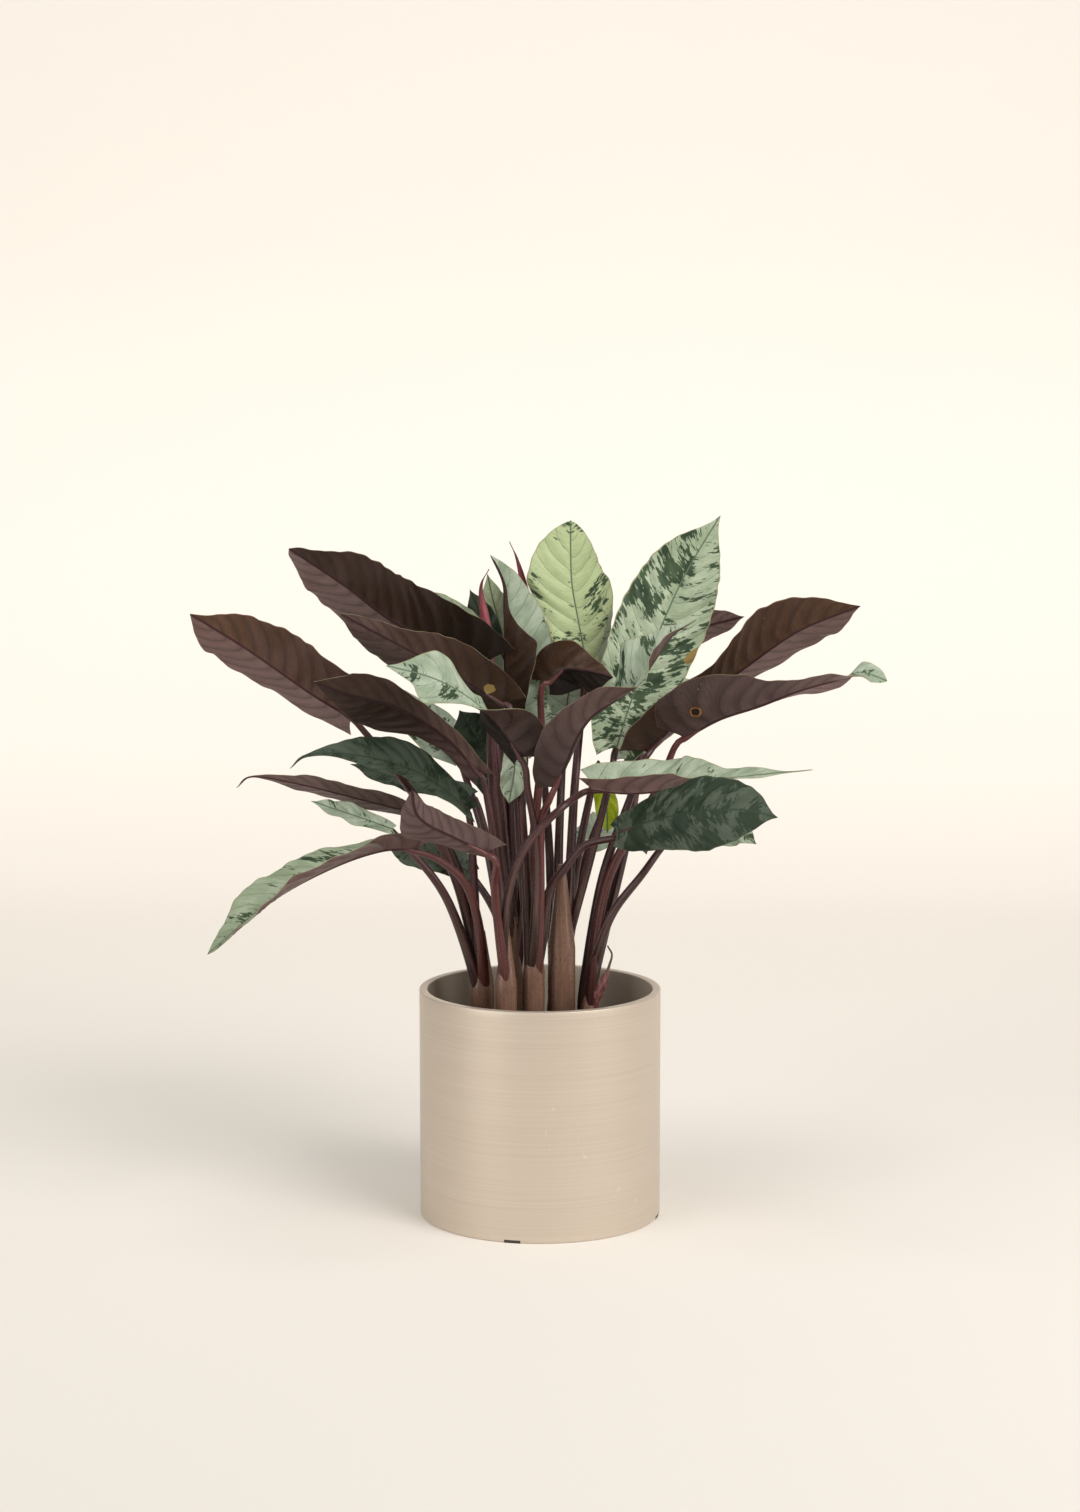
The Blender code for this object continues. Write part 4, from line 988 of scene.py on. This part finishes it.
def make_soil(surface):
    """Crumbly soil: a noisy disc with a skirt, and loose crumbs."""
    chance = random.Random(11)
    radius = POT_RADIUS - POT_WALL - 0.4
    rings, sides = 44, 150
    points = [(0.0, 0.0, SOIL_LEVEL)]
    for ring in range(1, rings + 1):
        for side in range(sides):
            angle = 2.0 * math.pi * side / sides
            r = radius * ring / rings
            x, y = r * math.cos(angle), r * math.sin(angle)
            lump = noise.fractal(Vector((x, y, 0.0)) * 0.12, 0.7, 2.0, 4) * 1.6
            points.append((x, y, SOIL_LEVEL + max(-2.4, min(2.2, lump))))
    for side in range(sides):
        x, y, _ = points[1 + (rings - 1) * sides + side]
        points.append((x, y, SOIL_LEVEL - 14.0))
    faces = [[0, 1 + side, 1 + (side + 1) % sides] for side in range(sides)]
    for ring in range(rings):
        for side in range(sides):
            a = 1 + ring * sides + side
            b = 1 + ring * sides + (side + 1) % sides
            faces.append([a, a + sides, b + sides, b])
    faces.append([1 + rings * sides + side for side in range(sides - 1, -1, -1)])
    crumb_points, crumb_faces = icosahedron()
    for _ in range(900):
        r, angle = (radius - 3.0) * math.sqrt(chance.random()), chance.uniform(0.0, 2.0 * math.pi)
        size = chance.uniform(0.7, 2.1)
        turn = Matrix.Rotation(chance.uniform(0, 6.28), 3, Vector((chance.random(), chance.random(), 1.0)))
        stretch = Vector((chance.uniform(0.7, 1.3), chance.uniform(0.7, 1.3), chance.uniform(0.5, 0.9)))
        centre = Vector((r * math.cos(angle), r * math.sin(angle), SOIL_LEVEL + chance.uniform(-0.4, 0.9)))
        start = len(points)
        for corner in crumb_points:
            shaped = turn @ Vector(corner) * size * chance.uniform(0.85, 1.15)
            points.append(tuple(centre + Vector((shaped.x * stretch.x, shaped.y * stretch.y, shaped.z * stretch.z))))
        faces += [[start + index for index in face] for face in crumb_faces]
    made = add_mesh("soil_surface", points, faces, [surface])
    smooth(made, 35.0)
    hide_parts("soil")


def icosahedron():
    golden = (1.0 + math.sqrt(5.0)) / 2.0
    corners = []
    for a in (-1.0, 1.0):
        for b in (-golden, golden):
            corners += [(0.0, a, b), (a, b, 0.0), (b, 0.0, a)]
    points = [tuple(Vector(corner).normalized()) for corner in corners]
    faces = []
    reach = 1.1
    for i in range(12):
        for j in range(i + 1, 12):
            for k in range(j + 1, 12):
                a, b, c = Vector(points[i]), Vector(points[j]), Vector(points[k])
                if (a - b).length < reach and (b - c).length < reach and (a - c).length < reach:
                    outward = (b - a).cross(c - a).dot(a + b + c) > 0.0
                    faces.append([i, j, k] if outward else [i, k, j])
    return points, faces


# Materials.


def new_tree(name):
    made = bpy.data.materials.new(name)
    made.use_nodes = True
    made.node_tree.nodes.clear()
    return made, made.node_tree


def node(tree, kind, inputs=None, **settings):
    """A node with its settings and its inputs, each a value or another node's socket."""
    made = tree.nodes.new(kind)
    for key, value in settings.items():
        setattr(made, key, value)
    for key, value in (inputs or {}).items():
        if isinstance(value, bpy.types.NodeSocket):
            tree.links.new(value, made.inputs[key])
        else:
            made.inputs[key].default_value = value
    return made


def sums(tree, operation, first, second=0.0, third=None, clamp=False):
    inputs = {0: first, 1: second}
    if third is not None:
        inputs[2] = third
    return node(tree, "ShaderNodeMath", inputs, operation=operation, use_clamp=clamp).outputs[0]


def attribute(tree, name):
    vector = node(tree, "ShaderNodeAttribute", attribute_name=name).outputs["Vector"]
    return node(tree, "ShaderNodeSeparateXYZ", {0: vector}).outputs


def combine(tree, x, y, z):
    return node(tree, "ShaderNodeCombineXYZ", {0: x, 1: y, 2: z}).outputs[0]


def noise_at(tree, vector, scale=1.0, detail=2.0, roughness=0.5, distortion=0.0):
    inputs = {"Vector": vector, "Scale": scale, "Detail": detail, "Roughness": roughness, "Distortion": distortion}
    return node(tree, "ShaderNodeTexNoise", inputs).outputs["Fac"]


def stepped(tree, value, low, high, to_low=0.0, to_high=1.0):
    inputs = {"Value": value, "From Min": low, "From Max": high, "To Min": to_low, "To Max": to_high}
    return node(tree, "ShaderNodeMapRange", inputs, interpolation_type="SMOOTHSTEP").outputs[0]


def mixed(tree, factor, first, second, blend_type="MIX"):
    """A colour mix; colours are triples or sockets."""
    first = (*first, 1.0) if isinstance(first, tuple) else first
    second = (*second, 1.0) if isinstance(second, tuple) else second
    made = node(tree, "ShaderNodeMix", data_type="RGBA", blend_type=blend_type)
    for key, value in ((0, factor), (6, first), (7, second)):
        if isinstance(value, bpy.types.NodeSocket):
            tree.links.new(value, made.inputs[key])
        else:
            made.inputs[key].default_value = value
    return made.outputs[2]


def bumped(tree, height, distance, strength=1.0):
    inputs = {"Height": height, "Distance": distance, "Strength": strength}
    return node(tree, "ShaderNodeBump", inputs).outputs["Normal"]


def finish_surface(made, tree, inputs, through=None, share=0.0):
    """Ends a material in a Principled surface, with some light let through where a colour is given."""
    shader = node(tree, "ShaderNodeBsdfPrincipled", inputs).outputs[0]
    if through is not None:
        glow = node(tree, "ShaderNodeBsdfTranslucent", {"Color": through})
        shader = node(tree, "ShaderNodeMixShader", {0: share, 1: shader, 2: glow.outputs[0]}).outputs[0]
    node(tree, "ShaderNodeOutputMaterial", {"Surface": shader})
    return made


def leaf_values(tree):
    """Sockets used by both sides of a leaf."""
    share, reach, look = (attribute(tree, name) for name in ("share", "reach", "look"))
    away = sums(tree, "ABSOLUTE", share[1])
    vein = sums(tree, "PINGPONG", share[2], 0.5)
    vein_mm = sums(tree, "MULTIPLY", vein, VEIN_SPACING)
    rib_mm = sums(tree, "MULTIPLY", sums(tree, "ABSOLUTE", reach[1]), 10.0)
    fine = noise_at(
        tree, combine(tree, sums(tree, "MULTIPLY", reach[0], 14.0), sums(tree, "MULTIPLY", reach[1], 1.5), reach[2]),
        detail=3.0,
    )
    return share, reach, look, away, vein_mm, rib_mm, fine


def upper_leaf():
    """Silver green with dark jagged blotches that follow the side veins."""
    made, tree = new_tree("leaf_upper_side")
    share, reach, look, away, vein_mm, rib_mm, fine = leaf_values(tree)
    patch = noise_at(
        tree, combine(tree, sums(tree, "MULTIPLY", reach[0], 0.75), sums(tree, "MULTIPLY", reach[1], 0.55), reach[2]),
        detail=2.0,
    )
    streak = noise_at(
        tree, combine(tree, sums(tree, "MULTIPLY", reach[0], 5.5), sums(tree, "MULTIPLY", reach[1], 1.7), reach[2]),
        detail=4.0, roughness=0.6,
    )
    mixed_noise = sums(tree, "MULTIPLY_ADD", patch, 1.2, sums(tree, "MULTIPLY", streak, 0.9))
    level = sums(tree, "ADD", mixed_noise, look[0])
    blotch = stepped(tree, level, 1.2, 1.24)
    tint = noise_at(tree, combine(tree, reach[0], reach[1], reach[2]), scale=0.8, detail=2.0)
    silver = mixed(tree, stepped(tree, tint, 0.3, 0.7), (0.33, 0.41, 0.285), (0.52, 0.59, 0.45))
    pale = mixed(tree, stepped(tree, look[1], 0.0, 1.0), silver, (0.56, 0.65, 0.33))
    yellow = mixed(tree, stepped(tree, look[1], 1.0, 2.0), pale, (0.46, 0.56, 0.02))
    fine_shade = mixed(tree, stepped(tree, fine, 0.35, 0.65), (0.86, 0.86, 0.86), (1.0, 1.0, 1.0))
    plain = mixed(tree, 1.0, yellow, fine_shade, "MULTIPLY")
    vein_line = stepped(tree, vein_mm, 0.1, 0.7)
    veined = mixed(tree, vein_line, mixed(tree, 0.55, plain, (0.12, 0.17, 0.1)), plain)
    dark = mixed(tree, stepped(tree, tint, 0.3, 0.7), (0.03, 0.055, 0.028), (0.065, 0.105, 0.05))
    spotted = mixed(tree, blotch, veined, dark)
    ribbed = mixed(tree, stepped(tree, rib_mm, 0.3, 0.9), (0.12, 0.17, 0.1), spotted)
    edged = mixed(tree, stepped(tree, away, 0.965, 0.99), ribbed, (0.36, 0.36, 0.2))
    # The look's third value mixes in painted shade for leaves deep in the clump.
    coloured = spotted_over(tree, mixed(tree, look[2], edged, (0.02, 0.035, 0.02)))
    height = sums(tree, "MULTIPLY_ADD", fine, 0.5, sums(tree, "MULTIPLY", streak, 0.3))
    inputs = {
        "Base Color": coloured,
        "Roughness": stepped(tree, fine, 0.3, 0.7, 0.42, 0.56),
        "Normal": bumped(tree, height, 0.0004, 0.5),
        "Specular IOR Level": 0.25,
    }
    return finish_surface(made, tree, inputs, mixed(tree, 0.5, coloured, (0.35, 0.4, 0.06)), 0.22)


def lower_leaf():
    """Brown to mauve, with soft dark side veins, a red-brown midrib and a reddish edge, and painted shade,
    painted sheen and painted glow from each leaf's tones.
    """
    made, tree = new_tree("leaf_under_side")
    share, reach, look, away, vein_mm, rib_mm, fine = leaf_values(tree)
    under = attribute(tree, "under")
    tint = noise_at(tree, combine(tree, reach[0], reach[1], reach[2]), scale=0.45, detail=3.0)
    mottle = noise_at(tree, combine(tree, reach[0], reach[1], reach[2]), scale=2.2, detail=4.0)
    # Mauve share: the side's own tone, raised where it paints a sheen of front light.
    mauve_and_sheen_share = sums(tree, "ADD", under[0], stepped(tree, tint, 0.3, 0.7, -0.12, 0.12), clamp=True)
    plain = mixed(tree, mauve_and_sheen_share, (0.066, 0.031, 0.021), (0.28, 0.175, 0.17))
    # Warm share: a brown-orange tone, partly painting light that comes through the blade.
    warm_and_glow_share = sums(tree, "MULTIPLY", under[1], stepped(tree, mottle, 0.3, 0.7, 0.55, 1.0))
    warmed = mixed(tree, warm_and_glow_share, plain, (0.15, 0.066, 0.022))
    fine_shade = mixed(tree, stepped(tree, fine, 0.35, 0.65), (0.82, 0.82, 0.82), (1.0, 1.0, 1.0))
    shaded = mixed(tree, 1.0, warmed, fine_shade, "MULTIPLY")
    # Dark side-vein lines, with a broad darkening beside each vein that paints the shade of the quilted valleys.
    vein_and_valley_shade = sums(tree, "ADD", stepped(tree, vein_mm, 0.0, 1.1, 0.0, 0.5), stepped(tree, vein_mm, 0.6, 5.0, 0.0, 0.5))
    veined = mixed(tree, vein_and_valley_shade, mixed(tree, 0.5, shaded, (0.018, 0.009, 0.008)), shaded)
    ribbed = mixed(tree, stepped(tree, rib_mm, 0.7, 1.4), (0.05, 0.013, 0.016), veined)
    edged = mixed(tree, stepped(tree, away, 0.97, 0.995), ribbed, (0.23, 0.12, 0.09))
    # Painted shade: the dark share of the tones darkens leaves deep in the clump and towards the base.
    deep = mixed(tree, sums(tree, "MULTIPLY", under[2], 0.95), edged, (0.008, 0.005, 0.004))
    darkened = spotted_over(tree, deep)
    inputs = {
        "Base Color": darkened,
        "Roughness": stepped(tree, fine, 0.3, 0.7, 0.32, 0.44),
        "Normal": bumped(tree, fine, 0.0006, 0.8),
        "Specular IOR Level": 0.3,
    }
    return finish_surface(made, tree, inputs, mixed(tree, 0.5, darkened, (0.3, 0.1, 0.02)), 0.12)


def stalk_surface():
    """Glossy red brown with streaks along the stalk, and painted shade towards the foot."""
    made, tree = new_tree("stalk_streaked")
    along, turn, length = attribute(tree, "stalk")
    around = sums(tree, "MULTIPLY", turn, 2.0 * math.pi)
    circle = (sums(tree, "COSINE", around), sums(tree, "SINE", around))
    seed = sums(tree, "FLOOR", sums(tree, "DIVIDE", turn, 5.3))
    streak = noise_at(
        tree,
        combine(
            tree,
            sums(tree, "MULTIPLY", circle[0], 2.6),
            sums(tree, "MULTIPLY", circle[1], 2.6),
            sums(tree, "MULTIPLY_ADD", length, 0.22, sums(tree, "MULTIPLY", seed, 17.0)),
        ),
        detail=4.0, roughness=0.65,
    )
    spots = noise_at(
        tree,
        combine(
            tree,
            sums(tree, "MULTIPLY", circle[0], 3.0),
            sums(tree, "MULTIPLY", circle[1], 3.0),
            sums(tree, "MULTIPLY_ADD", length, 3.0, seed),
        ),
        scale=2.0, detail=3.0,
    )
    low = mixed(tree, stepped(tree, streak, 0.38, 0.64), (0.02, 0.008, 0.006), (0.105, 0.056, 0.043))
    high = mixed(tree, stepped(tree, streak, 0.38, 0.64), (0.028, 0.008, 0.008), (0.095, 0.036, 0.034))
    plain = mixed(tree, stepped(tree, along, 0.3, 0.75), low, high)
    own = noise_at(tree, combine(tree, sums(tree, "MULTIPLY", seed, 7.3), seed, 0.5), scale=1.7)
    rosy = sums(tree, "MULTIPLY", stepped(tree, own, 0.5, 0.64, 0.0, 0.6), stepped(tree, streak, 0.3, 0.6, 0.35, 1.0))
    toned = mixed(tree, rosy, plain, (0.15, 0.03, 0.025))
    sheathed = mixed(tree, stepped(tree, seed, 0.3, 0.7), mixed(tree, streak, (0.05, 0.02, 0.013), (0.3, 0.17, 0.11)), toned)
    # Darker towards the foot: painted shade among the crowded stalks low in the pot.
    foot_shade = mixed(tree, stepped(tree, along, 0.05, 0.5, 0.8, 0.0), sheathed, (0.014, 0.006, 0.005))
    speckled = mixed(tree, stepped(tree, spots, 0.58, 0.66, 0.0, 0.5), foot_shade, (0.02, 0.008, 0.007))
    inputs = {
        "Base Color": speckled,
        "Roughness": stepped(tree, spots, 0.3, 0.7, 0.24, 0.4),
        "Normal": bumped(tree, streak, 0.0006, 0.5),
        "Specular IOR Level": 0.4,
    }
    return finish_surface(made, tree, inputs)


def bud_surface():
    made, tree = new_tree("bud_rolled")
    along, turn, length = attribute(tree, "stalk")
    lines = noise_at(
        tree, combine(tree, sums(tree, "MULTIPLY", turn, 40.0), sums(tree, "MULTIPLY", length, 1.2), 0.0), detail=3.0
    )
    pink = mixed(tree, stepped(tree, lines, 0.35, 0.65), (0.27, 0.045, 0.06), (0.42, 0.11, 0.13))
    tipped = mixed(tree, stepped(tree, along, 0.6, 0.85), pink, (0.13, 0.03, 0.03))
    greened = mixed(tree, stepped(tree, along, 0.0, 0.3), (0.12, 0.1, 0.05), tipped)
    inputs = {"Base Color": greened, "Roughness": 0.42, "Normal": bumped(tree, lines, 0.0004, 0.6)}
    return finish_surface(made, tree, inputs, mixed(tree, 0.5, greened, (0.5, 0.1, 0.1)), 0.2)


def dry_surface():
    made, tree = new_tree("dry_wrinkled")
    along, turn, length = attribute(tree, "stalk")
    lines = noise_at(
        tree, combine(tree, sums(tree, "MULTIPLY", turn, 12.0), sums(tree, "MULTIPLY", length, 2.0), 0.0), detail=4.0
    )
    colour = mixed(tree, stepped(tree, lines, 0.35, 0.65), (0.05, 0.014, 0.014), (0.2, 0.06, 0.05))
    dried = mixed(tree, stepped(tree, along, 0.25, 0.4), (0.06, 0.06, 0.035), colour)
    inputs = {"Base Color": dried, "Roughness": 0.6, "Normal": bumped(tree, lines, 0.0006, 0.8)}
    return finish_surface(made, tree, inputs)


def pot_surface():
    """Champagne finish with fine level brush lines and a few faint scuffs."""
    made, tree = new_tree("champagne_brushed")
    place = node(tree, "ShaderNodeTexCoord").outputs["Object"]
    x, y, z = node(tree, "ShaderNodeSeparateXYZ", {0: place}).outputs
    brush = noise_at(
        tree,
        combine(
            tree,
            sums(tree, "MULTIPLY", x, 5.0),
            sums(tree, "MULTIPLY", y, 5.0),
            sums(tree, "MULTIPLY", z, 1300.0),
        ),
        detail=4.0, roughness=0.7,
    )
    broad = noise_at(
        tree,
        combine(
            tree,
            sums(tree, "MULTIPLY", x, 9.0),
            sums(tree, "MULTIPLY", y, 9.0),
            sums(tree, "MULTIPLY", z, 60.0),
        ),
        detail=3.0,
    )
    lines = mixed(tree, stepped(tree, brush, 0.3, 0.7), (0.53, 0.445, 0.36), (0.58, 0.495, 0.405))
    toned = mixed(tree, stepped(tree, broad, 0.3, 0.7), (0.985, 0.983, 0.98), (1.0, 1.0, 1.0))
    finish = mixed(tree, 1.0, lines, toned, "MULTIPLY")
    scuff = noise_at(tree, place, scale=55.0, detail=4.0, roughness=0.6, distortion=1.5)
    rare = noise_at(tree, place, scale=18.0, detail=1.0)
    scuffed = sums(tree, "MULTIPLY", stepped(tree, scuff, 0.64, 0.68, 0.0, 0.35), stepped(tree, rare, 0.52, 0.6))
    coloured = mixed(tree, scuffed, finish, (0.72, 0.66, 0.58))
    inputs = {
        "Base Color": coloured,
        "Metallic": 0.35,
        "Roughness": stepped(tree, brush, 0.3, 0.7, 0.34, 0.46),
        "Normal": bumped(tree, brush, 0.0002, 0.2),
        "Specular IOR Level": 0.5,
    }
    return finish_surface(made, tree, inputs)


def pad_surface():
    made, tree = new_tree("pad_dark_rubber")
    place = node(tree, "ShaderNodeTexCoord").outputs["Object"]
    grain = noise_at(tree, place, scale=900.0, detail=3.0)
    colour = mixed(tree, grain, (0.02, 0.012, 0.01), (0.06, 0.04, 0.032))
    inputs = {"Base Color": colour, "Roughness": 0.75, "Normal": bumped(tree, grain, 0.0002, 0.5)}
    return finish_surface(made, tree, inputs)


def soil_surface():
    made, tree = new_tree("soil_crumbly")
    place = node(tree, "ShaderNodeTexCoord").outputs["Object"]
    grain = noise_at(tree, place, scale=420.0, detail=5.0, roughness=0.7)
    lumps = noise_at(tree, place, scale=90.0, detail=3.0)
    dark = mixed(tree, stepped(tree, grain, 0.35, 0.7), (0.018, 0.011, 0.007), (0.075, 0.048, 0.03))
    colour = mixed(tree, stepped(tree, lumps, 0.62, 0.68), dark, (0.13, 0.09, 0.055))
    inputs = {"Base Color": colour, "Roughness": 0.95, "Normal": bumped(tree, grain, 0.0012, 0.8)}
    return finish_surface(made, tree, inputs)


def paper_surface():
    made, tree = new_tree("paper_cream")
    place = node(tree, "ShaderNodeTexCoord").outputs["Object"]
    grain = noise_at(tree, place, scale=3.0, detail=2.0)
    colour = mixed(tree, grain, (0.655, 0.615, 0.56), (0.665, 0.625, 0.57))
    inputs = {
        "Base Color": colour,
        "Roughness": 0.95,
        "Specular IOR Level": 0.1,
        "Emission Color": (0.93, 0.87, 0.78, 1.0),
        "Emission Strength": 0.22,
    }
    return finish_surface(made, tree, inputs)


# Studio.

CAMERA_DISTANCE = 2.240
CAMERA_HEIGHT = 0.635
CAMERA_PITCH = 0.1287
CAMERA_LENS = 72.74
SENSOR_HEIGHT = 36.0


def make_camera():
    lens = bpy.data.cameras.new("camera")
    lens.lens = CAMERA_LENS
    lens.sensor_fit = "VERTICAL"
    lens.sensor_height = SENSOR_HEIGHT
    camera = bpy.data.objects.new("camera", lens)
    camera.location = (0.0, -CAMERA_DISTANCE, CAMERA_HEIGHT)
    camera.rotation_euler = (math.pi / 2.0 - CAMERA_PITCH, 0.0, 0.0)
    bpy.context.scene.collection.objects.link(camera)
    bpy.context.scene.camera = camera


def area_light(name, place, target, width, height, power, colour):
    lamp = bpy.data.lights.new(name, "AREA")
    lamp.shape = "RECTANGLE"
    lamp.size = width
    lamp.size_y = height
    lamp.energy = power
    lamp.color = colour
    made = bpy.data.objects.new(name, lamp)
    made.location = place
    made.rotation_euler = (Vector(target) - Vector(place)).to_track_quat("-Z", "Y").to_euler()
    bpy.context.scene.collection.objects.link(made)


def make_backdrop(surface):
    """A seamless sweep: floor, curve and wall."""
    run = [(-1.2, 0.0), (1.2, 0.0)]
    bend = 0.8
    for step in range(1, 25):
        turn = math.pi / 2.0 * step / 24
        run.append((1.2 + bend * math.sin(turn), bend * (1.0 - math.cos(turn))))
    run.append((2.0, 1.8))
    points = [(side * 1.6, y, z) for y, z in run for side in (-1.0, 1.0)]
    faces = [[2 * i, 2 * i + 1, 2 * i + 3, 2 * i + 2] for i in range(len(run) - 1)]
    mesh = bpy.data.meshes.new("backdrop")
    mesh.from_pydata(points, [], faces)
    mesh.materials.append(surface)
    made = bpy.data.objects.new("backdrop", mesh)
    bpy.context.scene.collection.objects.link(made)
    made.data.shade_smooth()


def sun_light(name, direction, strength, spread, colour):
    """A distant light that shines along a direction, with its spread in degrees."""
    lamp = bpy.data.lights.new(name, "SUN")
    lamp.energy = strength
    lamp.angle = math.radians(spread)
    lamp.color = colour
    made = bpy.data.objects.new(name, lamp)
    made.rotation_euler = Vector(direction).to_track_quat("-Z", "Y").to_euler()
    bpy.context.scene.collection.objects.link(made)


def make_studio():
    make_backdrop(paper_surface())
    world = bpy.data.worlds.new("studio")
    world.use_nodes = True
    back = world.node_tree.nodes["Background"]
    back.inputs["Color"].default_value = (1.0, 0.985, 0.955, 1.0)
    back.inputs["Strength"].default_value = 0.24
    bpy.context.scene.world = world
    sun_light("key", (-0.55, 0.62, -0.6), 1.75, 30.0, (1.0, 0.985, 0.96))
    sun_light("fill", (0.75, 0.6, -0.25), 1.5, 45.0, (1.0, 0.99, 0.97))
    area_light("side", (1.6, -0.9, 0.9), (0.0, 0.0, 0.3), 0.9, 1.4, 14.0, (1.0, 0.99, 0.98))
    area_light("above", (-0.2, -0.2, 2.0), (0.0, 0.0, 0.4), 1.2, 0.8, 9.0, (0.97, 0.98, 1.0))
    bpy.context.scene.view_settings.view_transform = "Standard"


def main():
    make_camera()
    make_studio()
    make_pot(pot_surface())
    pad = pad_surface()
    for number in range(1, len(PAD_BEARINGS) + 1):
        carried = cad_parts["pad_%d" % number]
        carried.data.materials.clear()
        carried.data.materials.append(pad)
    make_soil(soil_surface())
    stalk = stalk_surface()
    for name in SHOOTS:
        make_shoot(name, stalk)
    surfaces = [upper_leaf(), lower_leaf()]
    for number, (name, spec) in enumerate(LEAVES.items()):
        make_blade(name, spec, number, surfaces)
    bud = bud_surface()
    for name in BUDS:
        make_bud(name, bud)
    make_dry_strand(dry_surface())


main()
